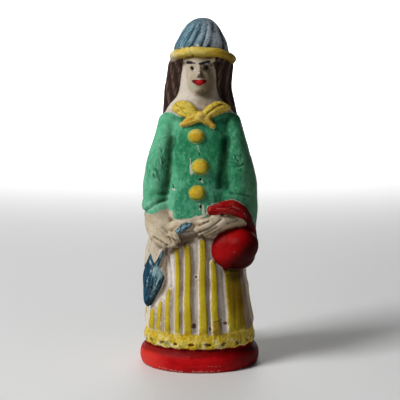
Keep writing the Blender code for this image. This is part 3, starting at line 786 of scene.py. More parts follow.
def cut_whistle(figure):
    """The windway from the lips, the window with its sloped lip, and the air chamber below it."""
    axes = whistle_axes()
    width, length, rise = WINDWAY
    roof = WHISTLE_THICKNESS / 2 * 0.35
    floor = roof - rise
    start = WHISTLE_LENGTH - length
    edge = start - WINDOW_LENGTH
    side = width / 2
    cut(figure, block("windway", (-side, start - 0.6, floor), (side, WHISTLE_LENGTH + 2, roof), axes))
    cut(figure, block("window", (-side, edge, floor - 0.6), (side, start, WHISTLE_THICKNESS), axes))
    lip = roof - rise / 2 + LIP_THICKNESS
    ramp = block("ramp", (-side, edge - RAMP_LENGTH, lip), (side, edge + 0.3, WHISTLE_THICKNESS), axes)
    rise_of_ramp = WHISTLE_THICKNESS / 2 - lip
    to_axes = axes.inverted()
    for vertex in ramp.data.vertices:
        place = to_axes @ vertex.co / UNIT
        if place.z < lip + 0.1 and place.y < edge:
            vertex.co = axes @ (Vector((place.x, place.y, place.z + rise_of_ramp)) * UNIT)
    cut(figure, ramp)
    chamber = rod("chamber", (0, 0, 0), CHAMBER_BORE / 2, CHAMBER_LENGTH, 32)
    middle = start - 0.1 - CHAMBER_LENGTH / 2
    height = roof - rise / 2 - CHAMBER_BORE / 2
    chamber.data.transform(axes @ Matrix.Translation(Vector((0, middle, height)) * UNIT))
    cut(figure, chamber)


forms = {
    "red_base": press_base(),
    "skirt": [trunk("skirt", SKIRT, sides=96)],
    "green": press_jacket(),
    "pale": press_head(),
    "hair": [trunk("hair", HAIR, step=1.2)],
    "slate": [trunk("hat", HAT, step=0.8)],
    "yellow": press_band() + press_bow() + press_buttons(),
    "hands": press_hands(),
    "cloth": press_umbrella_cloth(),
    "blue": press_umbrella(),
    "red_bag": press_bag(),
    "clay": press_mouthpiece(),
}


def skins(groups):
    """A tree of the nearest surface for each group of forms."""
    trees = {}
    for name, members in groups.items():
        points, faces = [], []
        for form in members:
            first = len(points)
            points += [vertex.co.copy() for vertex in form.data.vertices]
            faces += [[first + k for k in face.vertices] for face in form.data.polygons]
        trees[name] = BVHTree.FromPolygons(points, faces)
    return trees


trees = skins(forms)
figure = press_together([form for members in forms.values() for form in members])
prick_hem(figure)
pierce_vent(figure)
cut_whistle(figure)


def places(mesh):
    """The mesh's points as three arrays of carving units."""
    flat = np.zeros(len(mesh.vertices) * 3)
    mesh.vertices.foreach_get("co", flat)
    x, y, z = flat.reshape(-1, 3).T / UNIT
    return x, y, z - BASE_THICKNESS


def smooth(low, high, values):
    """Rises softly from 0 at low to 1 at high."""
    t = np.clip((values - low) / (high - low), 0, 1)
    return t * t * (3 - 2 * t)


def nearness(mesh, trees):
    """How far each point is inside each group's part of the skin, in units: above 0 where it is nearest."""
    gaps = {}
    for name, tree in trees.items():
        gaps[name] = np.array([tree.find_nearest(vertex.co)[3] for vertex in mesh.vertices]) / UNIT
    fields = {}
    for name in gaps:
        others = np.min([gap for other, gap in gaps.items() if other != name], axis=0)
        fields[name] = np.clip(others - gaps[name], -REACH, REACH)
    return fields


fields = nearness(figure.data, trees)
x, y, z = places(figure.data)
angle = np.degrees(np.arctan2(x, -y))


def gap_to(start, end):
    """How far each point is from a straight line over the front, in units."""
    run, rise = end[0] - start[0], end[1] - start[1]
    along = ((x - start[0]) * run + (z - start[1]) * rise) / (run**2 + rise**2)
    along = np.clip(along, 0, 1)
    return np.hypot(x - start[0] - along * run, z - start[1] - along * rise)


def furrow(course, half_width):
    """1 along a course over the front, falling to 0 at its half width to both sides."""
    gap = np.min([gap_to(*ends) for ends in zip(course, course[1:])], axis=0)
    return smooth(half_width, 0, gap) * (y < 0)


def inside(corners):
    """How far each point of the front is inside an outline, in units."""
    gap = np.full(len(x), REACH)
    within = np.zeros(len(x), bool)
    for start, end in zip(corners, corners[1:] + corners[:1]):
        gap = np.minimum(gap, gap_to(start, end))
        if start[1] != end[1]:
            crossing = start[0] + (z - start[1]) * (end[0] - start[0]) / (end[1] - start[1])
            within ^= ((start[1] > z) != (end[1] > z)) & (x < crossing)
    return np.where(y < 0, np.where(within, gap, -gap), -REACH)


def repaint(name, corners):
    """Gives an outline of the front to one paint."""
    share = inside(corners)
    for other in fields:
        if other != name:
            fields[other] = np.minimum(fields[other], -share)
    fields[name] = np.maximum(fields[name], share)


# Paints that leave their own form: the hands' and the umbrella's outlines, the collar and the hat's foot
fields["blue"] = np.full(len(x), -REACH)
repaint("hands", RIGHT_HAND_OUTLINE)
repaint("hands", LAP_OUTLINE)
repaint("blue", UMBRELLA_OUTLINE)
repaint("blue", HANDLE_OUTLINE)
collar = np.clip(COLLAR_HEIGHT - z, -REACH, REACH)
throat = np.abs(fields["green"] + fields["pale"]) < 0.3
fields["green"] = np.maximum(fields["green"], np.where(throat, collar, np.minimum(fields["pale"], collar)))
beside = np.where(y > -4, REACH, np.abs(x + 0.1) - 8.1)
hat_foot = np.min([fields["slate"], HAT_FOOT - z, beside], axis=0)
fields["hair"] = np.maximum(fields["hair"], hat_foot)
fields["slate"] = np.minimum(fields["slate"], z - HAT_FOOT)


def spread(mesh, values, rounds):
    """Evens values out over neighbouring points, so many times."""
    edges = np.zeros(len(mesh.edges) * 2, int)
    mesh.edges.foreach_get("vertices", edges)
    a, b = edges.reshape(-1, 2).T
    count = len(mesh.vertices)
    links = np.bincount(a, minlength=count) + np.bincount(b, minlength=count)
    for _ in range(rounds):
        total = np.bincount(a, values[b], count) + np.bincount(b, values[a], count)
        values = total / np.maximum(links, 1)
    return values


def normals(mesh):
    """Which way each point faces, as one row of x, y and z."""
    flat = np.zeros(len(mesh.vertices) * 3)
    mesh.vertex_normals.foreach_get("vector", flat)
    return flat.reshape(-1, 3)


def carve(mesh, rise):
    """Raises or sinks each point along the skin, by units."""
    flat = np.zeros(len(mesh.vertices) * 3)
    mesh.vertices.foreach_get("co", flat)
    moved = flat.reshape(-1, 3) + normals(mesh) * rise[:, None] * UNIT
    mesh.vertices.foreach_set("co", moved.ravel())
    mesh.update()


def stripe_fields():
    """How far each point is inside the skirt's nearest ridge and from the crease on its left, in units."""
    rows = list(RIDGES)
    for k in range(BACK_RIDGES):
        place = FIRST_BACK_RIDGE + k * BACK_RIDGE_SPACING
        rows.append((place, BACK_RIDGE_LOW, place, BACK_RIDGE_MIDDLE, BACK_RIDGE_TOP))
    share = (z - RIDGE_LOW) / (RIDGE_MIDDLE - RIDGE_LOW)
    inside = np.full(len(z), -REACH)
    shady = np.full(len(z), -REACH)
    for low, low_half, middle, middle_half, top in rows:
        course = low + (middle - low) * share + 0.45 * np.sin(z * 0.21 + low)
        end = smooth(top - 2, top + 1.2, z)
        half = (low_half + (middle_half - low_half) * share) * (1 - end) - REACH * end
        away = (angle - course + 180) % 360 - 180
        inside = np.maximum(inside, (half - np.abs(away)) * DEGREE)
        shady = np.maximum(shady, np.where(end < 0.5, -np.abs(away - half) * DEGREE, -REACH))
    return inside, shady


# The skirt: raised ridges, a scalloped rim round the pricked holes, and hollows below the hem and the bag
stripes, shady_sides = stripe_fields()
on_skirt = smooth(0, 1.2, fields["skirt"])
fold = smooth(-1, 0.7, stripes) * smooth(HEM_HEIGHT - 2, HEM_HEIGHT + 3, z)
scallops = 0.5 + 0.5 * np.cos(np.radians(angle - FIRST_HEM_HOLE) * HEM_HOLES)
rim = np.exp(-(((z - HEM_HOLE_HEIGHT) / 1.9) ** 2)) * scallops
low_edge = smooth(2.6, 1, z) * (0.5 + 0.5 * (1 - scallops) ** 2)
under_bag = smooth(14, 22, x) * np.exp(-(((z - 37) / 5) ** 2))
relief = on_skirt * (fold * RIDGE_RISE + 0.5 * rim - low_edge - under_bag)

# The hat's flutes, which fade towards the crown
turned = np.radians(angle - (z - 150) * FLUTE_SLANT)
on_hat = smooth(0.2, 1.4, fields["slate"])
wander = 1.5 * np.sin(turned * 3 + 1) + 0.7 * np.sin(turned * 8 + z * 0.12)
flutes = np.abs(np.sin((turned * HAT_FLUTES + wander + 0.8) / 2)) ** 0.6
fade = smooth(FLUTES_END, FLUTES_START, z) * (0.75 + 0.25 * np.sin(turned * 4.3 + z * 0.3))
flutes = 1 - (1 - flutes) * fade
relief -= on_hat * (1 - flutes)

# The locks of the hair, and the stick's creases everywhere
on_hair = smooth(0.2, 1.4, fields["hair"])
locks = np.cos(np.radians(angle) * HAIR_LOCKS + z * 0.22 + 0.8 * np.sin(z * 0.13 + angle * 0.05))
relief += on_hair * 0.38 * locks
for depth, half_width, course in FURROWS:
    relief -= depth * furrow(course, half_width)
carve(figure.data, relief)

lumps = bpy.data.textures.new("hand_pressed", "CLOUDS")
lumps.noise_scale = LUMP_SIZE * UNIT
press = figure.modifiers.new("lumps", "DISPLACE")
press.texture = lumps
press.strength = LUMP_RISE * UNIT
press.mid_level = 0.5
apply_modifiers(figure)

# The underside, flat on the ground
for vertex in figure.data.vertices:
    if vertex.co.z < 0.5 * UNIT:
        vertex.co.z = 0


def standing_out(mesh, rounds):
    """How far each point stands out of its evened-out surroundings, in units."""
    out = np.zeros(len(mesh.vertices))
    for values, slope in zip(places(mesh), normals(mesh).T):
        out += (values - spread(mesh, values, rounds)) * slope
    return out


# What the paint reads of the clay: one number for each point under each name
fields.update(stripes=stripes, shady_sides=shady_sides, scallops=scallops, flutes=flutes, locks=locks)
fields["ridge"] = standing_out(figure.data, RIDGE_ROUNDS)
fields["broad"] = standing_out(figure.data, BROAD_ROUNDS)
for name, values in fields.items():
    attribute = figure.data.attributes.new(name, "FLOAT", "POINT")
    attribute.data.foreach_set("value", values.astype(np.float32))
pick(figure)
bpy.ops.object.shade_smooth()


def opaque(shade):
    """A colour as a socket takes it. A link stays as it is."""
    return shade if isinstance(shade, Pigment) else (*shade, 1.0)


class Pigment:
    """A shader socket that works in Python's expressions."""

    def __init__(self, tree, socket=None):
        self.tree = tree
        self.socket = socket

    def node(self, kind, sockets=None, output=0, **settings):
        """Adds any node: its settings first, then the values or links of its sockets."""
        made = self.tree.nodes.new(kind)
        for name, value in settings.items():
            setattr(made, name, value)
        for name, value in (sockets or {}).items():
            if isinstance(value, Pigment):
                self.tree.links.new(value.socket, made.inputs[name])
            else:
                made.inputs[name].default_value = value
        return Pigment(self.tree, made.outputs[output])

    def maths(self, operation, *others):
        return self.node("ShaderNodeMath", dict(enumerate((self, *others))), operation=operation)

    def __add__(self, other):
        return self.maths("ADD", other)

    __radd__ = __add__

    def __mul__(self, other):
        return self.maths("MULTIPLY", other)

    __rmul__ = __mul__

    def __sub__(self, other):
        return self.maths("SUBTRACT", other)

    def __rsub__(self, other):
        return self.node("ShaderNodeMath", {0: other, 1: self}, operation="SUBTRACT")

    def __truediv__(self, other):
        return self.maths("DIVIDE", other)

    def __pow__(self, other):
        return self.maths("POWER", other)

    def __neg__(self):
        return self * -1

    def __abs__(self):
        return self.maths("ABSOLUTE")

    def least(self, other):
        return self.maths("MINIMUM", other)

    def most(self, other):
        return self.maths("MAXIMUM", other)

    def parts(self):
        """The three numbers of a vector."""
        split = self.node("ShaderNodeSeparateXYZ", {0: self}).socket.node
        return [Pigment(self.tree, socket) for socket in split.outputs]

    def field(self, name):
        """What was kept for each point of the clay under this name."""
        return self.node("ShaderNodeAttribute", output="Fac", attribute_name=name)

    def soft(self, low, high):
        """Rises softly from 0 at low to 1 at high."""
        sockets = {"Value": self, "From Min": low, "From Max": high}
        return self.node("ShaderNodeMapRange", sockets, interpolation_type="SMOOTHSTEP")

    def grain(self, scale, detail=2, roughness=0.5, lean=0, length=1):
        """Noise with so many cells in a unit, drawn out along a line that leans so many degrees."""
        mapped = self
        if length != 1:
            sockets = {"Vector": self, "Rotation": (0, math.radians(lean), 0), "Scale": (1, 1, length)}
            mapped = self.node("ShaderNodeMapping", sockets, vector_type="TEXTURE")
        sockets = {"Vector": mapped, "Scale": scale, "Detail": detail, "Roughness": roughness}
        return self.node("ShaderNodeTexNoise", sockets)

    def mix(self, share, under, over, way="MIX"):
        sockets = {0: share, 6: opaque(under), 7: opaque(over)}
        return self.node("ShaderNodeMix", sockets, output=2, data_type="RGBA", blend_type=way)

    def coat(self, share, paint):
        """This colour with another laid over it where share is 1."""
        return self.mix(share, self, paint)

    def shade(self, share, tint):
        """This colour darkened towards its product with another."""
        return self.mix(share, self, tint, "MULTIPLY")


def brush_mark(name, count, field):
    """A small tree with so many inputs, so that one node stands for each brush mark of this kind."""
    group = bpy.data.node_groups.new(name, "ShaderNodeTree")
    for k in range(count):
        group.interface.new_socket(name=f"Value {k}", in_out="INPUT", socket_type="NodeSocketFloat")
    group.interface.new_socket(name="Field", in_out="OUTPUT", socket_type="NodeSocketFloat")
    inputs = group.nodes.new("NodeGroupInput")
    values = [Pigment(group, inputs.outputs[k]) for k in range(count)]
    outputs = group.nodes.new("NodeGroupOutput")
    group.links.new(field(*values).socket, outputs.inputs[0])
    return group


def oval_field(x, z, centre_x, centre_z, half_width, half_rise, least_half):
    across = (x - centre_x) / half_width
    up = (z - centre_z) / half_rise
    return (1 - (across * across + up * up) ** 0.5) * least_half


def stroke_field(x, z, start_x, start_z, run, rise, start_half, end_half):
    along = (((x - start_x) * run + (z - start_z) * rise) / (run * run + rise * rise)).most(0).least(1)
    across = x - (along * run + start_x)
    up = z - (along * rise + start_z)
    return along * (end_half - start_half) + start_half - (across * across + up * up) ** 0.5


def mark_field(field, edge, front, softness, wobble):
    return (field + edge * wobble).soft(-softness, softness) * front


# Paints, as linear colours: each in a deep and a light tone
SLIP = ((0.5, 0.43, 0.35), (0.68, 0.61, 0.52))
LILAC = ((0.48, 0.41, 0.33), (0.76, 0.69, 0.62))
FLESH = ((0.44, 0.35, 0.24), (0.66, 0.57, 0.42))
GREEN = ((0.03, 0.225, 0.115), (0.13, 0.45, 0.265))
MINT = (0.27, 0.56, 0.4)
YELLOW = ((0.56, 0.36, 0.014), (0.76, 0.58, 0.06))
ORANGE = (0.66, 0.28, 0.02)
STRIPE = ((0.46, 0.33, 0.012), (0.62, 0.5, 0.03))
RED = ((0.4, 0.002, 0.004), (0.56, 0.005, 0.008))
BAG = ((0.22, 0.001, 0.002), (0.4, 0.003, 0.004))
HAIR_BROWN = ((0.034, 0.019, 0.014), (0.178, 0.102, 0.081))
SLATE = ((0.036, 0.105, 0.165), (0.24, 0.38, 0.425))
PEWTER = ((0.24, 0.3, 0.34), (0.72, 0.74, 0.76))
BLUE = ((0.002, 0.03, 0.062), (0.034, 0.125, 0.185))
CLAY = ((0.16, 0.075, 0.045), (0.3, 0.16, 0.1))
SOOT = (0.012, 0.009, 0.008)


def paint_figure():
    material = bpy.data.materials.new("painted_ceramic")
    material.use_nodes = True
    tree = material.node_tree
    tree.nodes.clear()
    tools = Pigment(tree)
    metres = tools.node("ShaderNodeTexCoord", output="Object")
    place = tools.node("ShaderNodeVectorMath", {0: metres, "Scale": 1 / UNIT}, operation="SCALE")
    x, y, height = place.parts()
    z = height - BASE_THICKNESS
    front = y.soft(0, -3)

    edge = (place.grain(0.55, 3) - 0.5) * 1.4 + (place.grain(2.6, 2) - 0.5) * 0.7
    patches = place.grain(0.11, 3)
    speckle = place.grain(1.4, 4, 0.6)
    upright = place.grain(0.9, 3, 0.55, length=9)
    slanted = place.grain(1.3, 3, 0.55, lean=18, length=12)
    level = place.grain(0.9, 3, 0.55, lean=80, length=7)
    clouds = patches * 0.5 + speckle * 0.5
    mottle = speckle * 0.6 + patches * 0.4
    runs = upright * 0.5 + speckle * 0.5
    ridge = tools.field("ridge")
    broad = tools.field("broad")
    hollow = (-ridge).soft(0, 0.34)
    worn = (ridge + (speckle - 0.5) * 0.7).soft(0.3, 0.48)

    oval = brush_mark("oval_mark", 7, oval_field)
    long_stroke = brush_mark("stroke_mark", 8, stroke_field)
    uneven_mark = brush_mark("uneven_mark", 5, mark_field)

    def worked_out(kind, *values):
        """What one of these small trees makes of its values."""
        return tools.node("ShaderNodeGroup", dict(enumerate(values)), node_tree=kind)

    def spot(centre_x, centre_z, half_width, half_rise):
        """How far a place of the front is inside an oval, in units."""
        least_half = min(half_width, half_rise)
        return worked_out(oval, x, z, centre_x, centre_z, half_width, half_rise, least_half)

    def stroke(start, end, start_half, end_half):
        """How far a place of the front is inside a tapering brush stroke, in units."""
        run, rise = end[0] - start[0], end[1] - start[1]
        return worked_out(long_stroke, x, z, *start, run, rise, start_half, end_half)

    def mark(field, softness=0.12, wobble=0.25):
        """Where a brush mark of the front covers: its field with an uneven edge."""
        return worked_out(uneven_mark, field, edge, front, softness, wobble)

    def nearest(kind, rows):
        """How far a place of the front is inside the nearest of several ovals or strokes, in units."""
        return reduce(Pigment.most, (kind(*row) for row in rows))

    def marks(rows, softness=0.12, wobble=0.25):
        """Where several strokes of one brush cover."""
        return mark(nearest(stroke, rows), softness, wobble)

    def painted(name, reach=0, wobble=0.4):
        """Where a paint lies on its own forms, short of or past their creases by its reach."""
        return (tools.field(name) + reach + edge * wobble).soft(-0.12, 0.12)

    def tones(pair, share, low=0.35, high=0.65):
        """A paint's deep tone turning to its light one."""
        return tools.mix(share.soft(low, high), *pair)

    def coat(share, paint):
        """Lays the next paint on, where share is 1."""
        nonlocal look
        look = look.coat(share, paint)

    def shade(share, tint):
        """Darkens what is there, where share is 1."""
        nonlocal look
        look = look.shade(share, tint)

    # White slip over the whole figure, then each paint in the order in which it was laid on
    look = tones(SLIP, clouds)
    coat(painted("hands", 0.1), tones(FLESH, patches * 0.6 + speckle * 0.4))
    coat(painted("cloth", 0.1) * 0.6, tones(FLESH, speckle))
    face = mark(spot(0.2, 139.5, 7.6, 10), 1.4).most(z.soft(144, 146) * front)
    coat(face * 0.6, tones(FLESH, patches * 0.5 + speckle * 0.2, 0.36, 0.62))

    # The skirt: lilac, then its yellow ridges and hem
    on_skirt = painted("skirt", -0.1, 0.2)
    coat(on_skirt, tones(LILAC, clouds, 0.3, 0.56))
    into_stripe = tools.field("stripes")
    run_out = (upright - 0.5) * z.soft(32, 20) * 1.6
    stripes = (into_stripe + edge * 0.5 + run_out).soft(-0.15, 0.45)
    hem = (HEM_HEIGHT - z + edge * 1.5 + stripes * 0.8).soft(-0.3, 0.4)
    striping = tones(STRIPE, upright * 0.6 + patches * 0.4)
    striping = striping.shade(runs.soft(0.5, 0.6) * 0.45, (0.62, 0.52, 0.3))
    coat(stripes * on_skirt, striping)
    stripe_tops = stripes * on_skirt * (z - 38 + edge * 6).soft(0, 16)
    shade(stripe_tops * runs.soft(0.44, 0.54) * 0.55, (0.6, 0.46, 0.24))
    # Painted shade and dirt on the flanks of each ridge, where it turns away
    ridge_flank_shade = (0.9 - into_stripe).soft(0, 0.8) * stripes
    shade(ridge_flank_shade * on_skirt * speckle.soft(0.46, 0.56) * 0.5, (0.55, 0.42, 0.22))
    # Painted shade down each ridge's side towards her left, stronger towards her left, away from the light
    shady_sides = (tools.field("shady_sides") + (upright - 0.5) * 1.6 + edge * 0.25).soft(-0.75, -0.1)
    from_light = x.soft(-22, 8) * 0.45 + 0.35
    shade(shady_sides * from_light * front * on_skirt, (0.4, 0.28, 0.14))
    hem_share = hem * on_skirt
    coat(hem_share, tones(YELLOW, place.grain(0.6, 3) * 0.7 + patches * 0.3, 0.38, 0.6))
    coat(hem_share * place.grain(0.22, 3, 0.6).soft(0.48, 0.62) * 0.55, (0.66, 0.62, 0.3))
    coat(hem_share * x.soft(10, 22) * speckle.soft(0.4, 0.56) * 0.4, (0.85, 0.66, 0.1))
    low_hem = hem_share * (6.5 - z + edge * 2).soft(-1, 2)
    coat(low_hem * place.grain(0.3, 3, 0.7).soft(0.54, 0.62) * 0.7, SLIP[1])
    coat(low_hem * place.grain(0.24, 3, 0.7).soft(0.46, 0.38) * 0.65, (0.2, 0.23, 0.03))
    coat((hem_share - low_hem) * speckle.soft(0.55, 0.63) * 0.5, (0.42, 0.24, 0.03))

    # The red that runs up from the base under the hem, dark as painted shadow below the hem
    red_and_shadow_under_hem = (1 - tools.field("scallops")) * 0.45 + 1.9 - z + edge * 1.2
    coat(red_and_shadow_under_hem.soft(-0.1, 0.4) * on_skirt, (0.24, 0.003, 0.004))

    # The jacket: scuffed, worn greens, painted sheen, painted shade in grooves and the sleeves' dents,
    # highlights on their welts
    green_share = painted("green", -0.3, 0.55)
    scuffs = place.grain(0.42, 4, 0.65, lean=24, length=2.2)
    # Her right sleeve, lighter where worn and as painted light on the side nearer the light
    worn_and_lit_sleeve = x.soft(-10.5, -16)
    greens = tones(GREEN, upright * 0.15 + patches * 0.5 + scuffs * 0.35 + worn_and_lit_sleeve * 0.14, 0.42, 0.66)
    cuffs = nearest(spot, ((19, 76.6, 8, 3.4), (-20.5, 74, 7, 3.4))).soft(-1, 2) * front
    # Mint where the paint is worn, and painted sheen on raised parts, the cuffs and her right sleeve
    wear_and_sheen = (scuffs + ridge * 0.3 + worn_and_lit_sleeve * 0.06 + cuffs * 0.2).soft(0.58, 0.78)
    greens = greens.coat(wear_and_sheen * 0.35, MINT)
    dabs = place.grain(0.75, 4, 0.7, lean=-30, length=1.6)
    # Painted sheen on the raised dabs
    greens = greens.coat((dabs + ridge * 0.2).soft(0.5, 0.68) * 0.34, MINT)
    greens = greens.shade(dabs.soft(0.48, 0.36) * 0.4, (0.45, 0.7, 0.58))
    greens = greens.shade(place.grain(0.17, 2).soft(0.52, 0.38) * 0.45, (0.36, 0.8, 0.62))
    # Painted highlights on the sleeves' welts and painted shade in their dents
    greens = greens.coat(marks(SLEEVE_WELT_HIGHLIGHTS, 0.2, 0.5) * 0.55, MINT)
    greens = greens.shade(marks(SLEEVE_DENT_SHADES, 0.2, 0.5) * 0.85, (0.22, 0.36, 0.28))
    # Painted shade towards her left, away from the light
    greens = greens.shade((x - 5 + edge).soft(-4, 14) * 0.8, (0.55, 0.72, 0.62))
    breast = nearest(spot, ((-6, 103, 7.5, 17), (5.5, 100, 6, 14))).soft(-2, 4) * front
    greens = greens.shade(breast * (0.55 + scuffs * 0.5), (0.52, 0.84, 0.66))
    # Painted shade in the grooves between the sleeves and the body
    gully_shade = (nearest(stroke, GULLY_SHADES) + edge * 0.8).soft(-1.8, 1.4) * front
    greens = greens.shade(gully_shade * 0.8, (0.24, 0.36, 0.28))
    greens = greens.coat((x - 21 + scuffs * 4).soft(0, 6) * 0.35, (0.16, 0.3, 0.18))
    coat(green_share, greens)

    # The hair and the hat
    locks = tools.field("locks")
    coat(painted("hair"), tones(HAIR_BROWN, slanted * 0.75 + locks * 0.12, 0.36, 0.66))
    flutes = tools.field("flutes")
    hatched = place.grain(0.75, 3, 0.6, lean=27, length=6)
    hat = tones(SLATE, hatched * 0.5 + patches * 0.2 + speckle * 0.3, 0.38, 0.6)
    hat = hat.coat((x + edge * 2).soft(-3, 8) * 0.8, tones(PEWTER, hatched * 0.6 + speckle * 0.4))
    strokes = (0.84 - flutes + (hatched - 0.5) * 1.8).soft(-0.02, 0.26)
    hat = hat.coat(strokes * 0.85, (0.03, 0.066, 0.105))
    crown = (z - 165 + (speckle - 0.5) * 9 + (hatched - 0.5) * 8).soft(-1, 3)
    hat = hat.coat(crown * 0.5, (0.035, 0.08, 0.1))
    hat = hat.coat(crown * speckle.soft(0.56, 0.64) * 0.5, (0.36, 0.44, 0.46))
    coat(painted("slate"), hat)

    # The yellow of the buttons, the bow and the band
    yellow_share = painted("yellow", 0.1, 0.3)
    into_yellow = tools.field("yellow")
    coat(yellow_share, tones(YELLOW, level * 0.4 + patches * 0.6))
    for (button_x, button_z, half_width, half_rise), tint in zip(BUTTONS, (0.9, 0.5, 0.6)):
        glow = spot(button_x - 0.8, button_z + 0.4, 2.9, 2.5).soft(-0.8, 1.6) * yellow_share * front
        coat(glow * tint * mottle.soft(0.4, 0.58) * 0.8, ORANGE)
        whole = spot(button_x, button_z, half_width, half_rise)
        around = spot(button_x, button_z, half_width + 2, half_rise + 2).soft(0, 0.5) * front * yellow_share
        # A dark green rim low on each button, towards her left: green paint over its edge, darkened as
        # painted shade
        lower = (button_z - z + (x - button_x) * 0.5 - 0.6).soft(-0.5, 2)
        coat(whole.soft(1.5, 0.3) * around * lower * 0.85, (0.09, 0.2, 0.03))
        fringe = (whole + edge * 1.6).soft(0.95, 0.15) * around
        coat(fringe * speckle.soft(0.42, 0.54) * 0.75, (0.2, 0.4, 0.08))

    # The bow, whose folds run together at the knot
    bow = spot(0.2, 119.5, 18, 9).soft(-0.5, 0.5) * front * yellow_share
    downhill = place.grain(1, 3, 0.6, lean=-60, length=5)
    uphill = place.grain(1, 3, 0.6, lean=66, length=5)
    rising = (x * (z - 118.8)).soft(-2, 2)
    pleats = downhill * (1 - rising) + uphill * rising
    crumbs = bow * (pleats - 0.5)
    coat(bow * (pleats * 0.8 + speckle * 0.2).soft(0.4, 0.56) * 0.7, (0.88, 0.7, 0.15))
    coat(bow * pleats.soft(0.44, 0.34) * 0.6, (0.46, 0.26, 0.03))
    tails = nearest(spot, ((-6, 116.4, 4.5, 3), (5.4, 116, 3.4, 3), (0, 119.6, 3.5, 2.4)))
    touched = (tails.soft(-1, 1.5) * 0.25 + speckle * 0.6 + patches * 0.2).soft(0.54, 0.66)
    coat(bow * touched * 0.5, ORANGE)
    knot = spot(0, 119, 3.4, 2.6).soft(-0.8, 1.4) * bow
    coat(knot * mottle.soft(0.4, 0.56) * 0.5, (0.92, 0.7, 0.16))
    welt = (into_yellow + edge * 0.3).soft(0.75, 0.15) * bow * mottle.soft(0.46, 0.56)
    coat(welt * 0.4, (0.88, 0.8, 0.56))
    coat(bow * (x + edge * 2).soft(2, 12) * pleats.soft(0.4, 0.54) * 0.4, (0.8, 0.48, 0.05))
    rimmed = (into_yellow + edge * 0.4).soft(1, 0.3) * bow * (z - 114 + edge * 4).soft(0, 4)
    shade(rimmed * 0.45, (0.5, 0.34, 0.14))

    # The hat's band, with painted light on her right and painted shade below its middle and towards her left
    # end
    band = z.soft(140, 142) * yellow_share
    painted_lit_side = band * front * (4 - x + edge * 5).soft(0, 12)
    coat(painted_lit_side * (level * 0.7 + speckle * 0.3).soft(0.4, 0.62) * 0.12, (0.8, 0.7, 0.3))
    sideways = (x - BAND_X) / BAND_SPAN
    middle = HAT[0][0] + BAND_LIFT - sideways * sideways * BAND_DROOP - sideways * BAND_TILT
    coat(band * (level * 0.5 + patches * 0.5).soft(0.38, 0.6) * 0.35, (0.72, 0.62, 0.3))
    # Painted shade below the band's middle
    shade((middle - 0.3 - z + edge * 0.8).soft(0, 2.2) * band * 0.75, (0.46, 0.38, 0.16))
    # Painted shade towards her left, and more at her left end
    shade((x - 7 + edge * 3).soft(-1, 9) * band * front * 0.5, (0.58, 0.5, 0.34))
    far_end_shade = (x - 11 + middle - z + edge * 2).soft(-1, 4) * band * front
    shade(far_end_shade * 0.45, (0.34, 0.27, 0.2))
    tip = spot(-13.8, 149.6, 2.8, 2.6).soft(-0.4, 0.8) * speckle.soft(0.42, 0.55)
    tip = tip.most(mark(spot(-0.9, 154.6, 0.9, 0.6))).most(mark(spot(-9, 153.9, 1.6, 0.4)) * 0.6)
    coat(tip * front * 0.75, SLIP[1])

    # The umbrella, with painted highlights and painted shade on its side turned from the light
    coat(painted("blue", 0.1, 0.3), tones(BLUE, slanted * 0.6 + patches * 0.4, 0.4, 0.62))
    blue_share = painted("blue")
    outer_side = (-24.6 - x + edge * 2).soft(-1, 2) * z.soft(45, 41) * blue_share
    shade(outer_side * 0.6, (0.4, 0.55, 0.66))
    # Painted highlights on the umbrella and its handle
    gleam = mark(spot(-22.5, 40.8, 2.2, 2.8), 0.6, 3)
    gleam = gleam.most(marks(UMBRELLA_GLEAMS, 0.4, 1.3))
    streaked = (slanted * 0.7 + speckle * 0.3).soft(0.42, 0.56)
    coat(gleam * (streaked * 0.75 + 0.2) * blue_share, (0.38, 0.52, 0.56))
    coat(streaked * blue_share * x.soft(-26.5, -21.5) * 0.6, (0.24, 0.39, 0.42))
    seam = mark(stroke((-23.6, 37), (-26.6, 24), 0.5, 0.3), 0.4, 1)
    shade(seam * 0.8 * blue_share, (0.22, 0.28, 0.3))
    # Painted shade on the umbrella's side that looks to her left, turned from the light
    shady_edge = mark(stroke((-16.8, 37), (-25, 22), 1.7, 1.3), 0.5, 0.8)
    coat(shady_edge * 0.85 * blue_share, (0.006, 0.022, 0.024))

    # The bag and its strap, with painted highlights and painted shade
    bag_share = painted("red_bag", -0.15, 0.35)
    coat(bag_share, tones(BAG, patches * 0.7 + speckle * 0.3))
    on_strap = z.soft(63, 66) * x.soft(21, 16) * bag_share * front
    coat(on_strap * x.soft(7, 11) * level.soft(0.42, 0.58) * 0.5, (0.52, 0.06, 0.045))
    shade(on_strap * (10 - x + edge).soft(0, 4) * 0.5, (0.46, 0.36, 0.36))
    # Painted shade over the bag's lower part and its side towards her left, away from the light
    underside = ((x - 17.5) * 0.75 - (z - 51) * 0.6 + edge).soft(-3.5, 5).least(z.soft(62, 58))
    underside = underside.most(x.soft(19, 26) * 0.75)
    shade(underside * bag_share * 0.94, (0.09, 0.05, 0.05))
    # Painted highlights on the strap and the bag
    glints = marks(STRAP_GLINTS, 0.1, 0.4)
    glints = glints.most(mark(spot(17.4, 51.4, 0.3, 0.3), 0.6, 1.2) * 0.7)
    glints = glints.most(mark(spot(17.2, 57.2, 1.2, 0.9), 1.6, 1.2) * 0.35)
    coat(glints * bag_share * 0.35, (0.7, 0.3, 0.26))
    # Painted shade in the strap's folds
    pleat = marks(STRAP_PLEAT_SHADES, 0.55)
    shade(pleat * bag_share * 0.6, (0.3, 0.16, 0.16))
    # Painted shade on the strap's end towards her left
    strap_end_shade = (x - 21.5 + edge).soft(0, 3) * z.soft(60, 64) * bag_share * front
    shade(strap_end_shade * 0.75, (0.3, 0.28, 0.28))

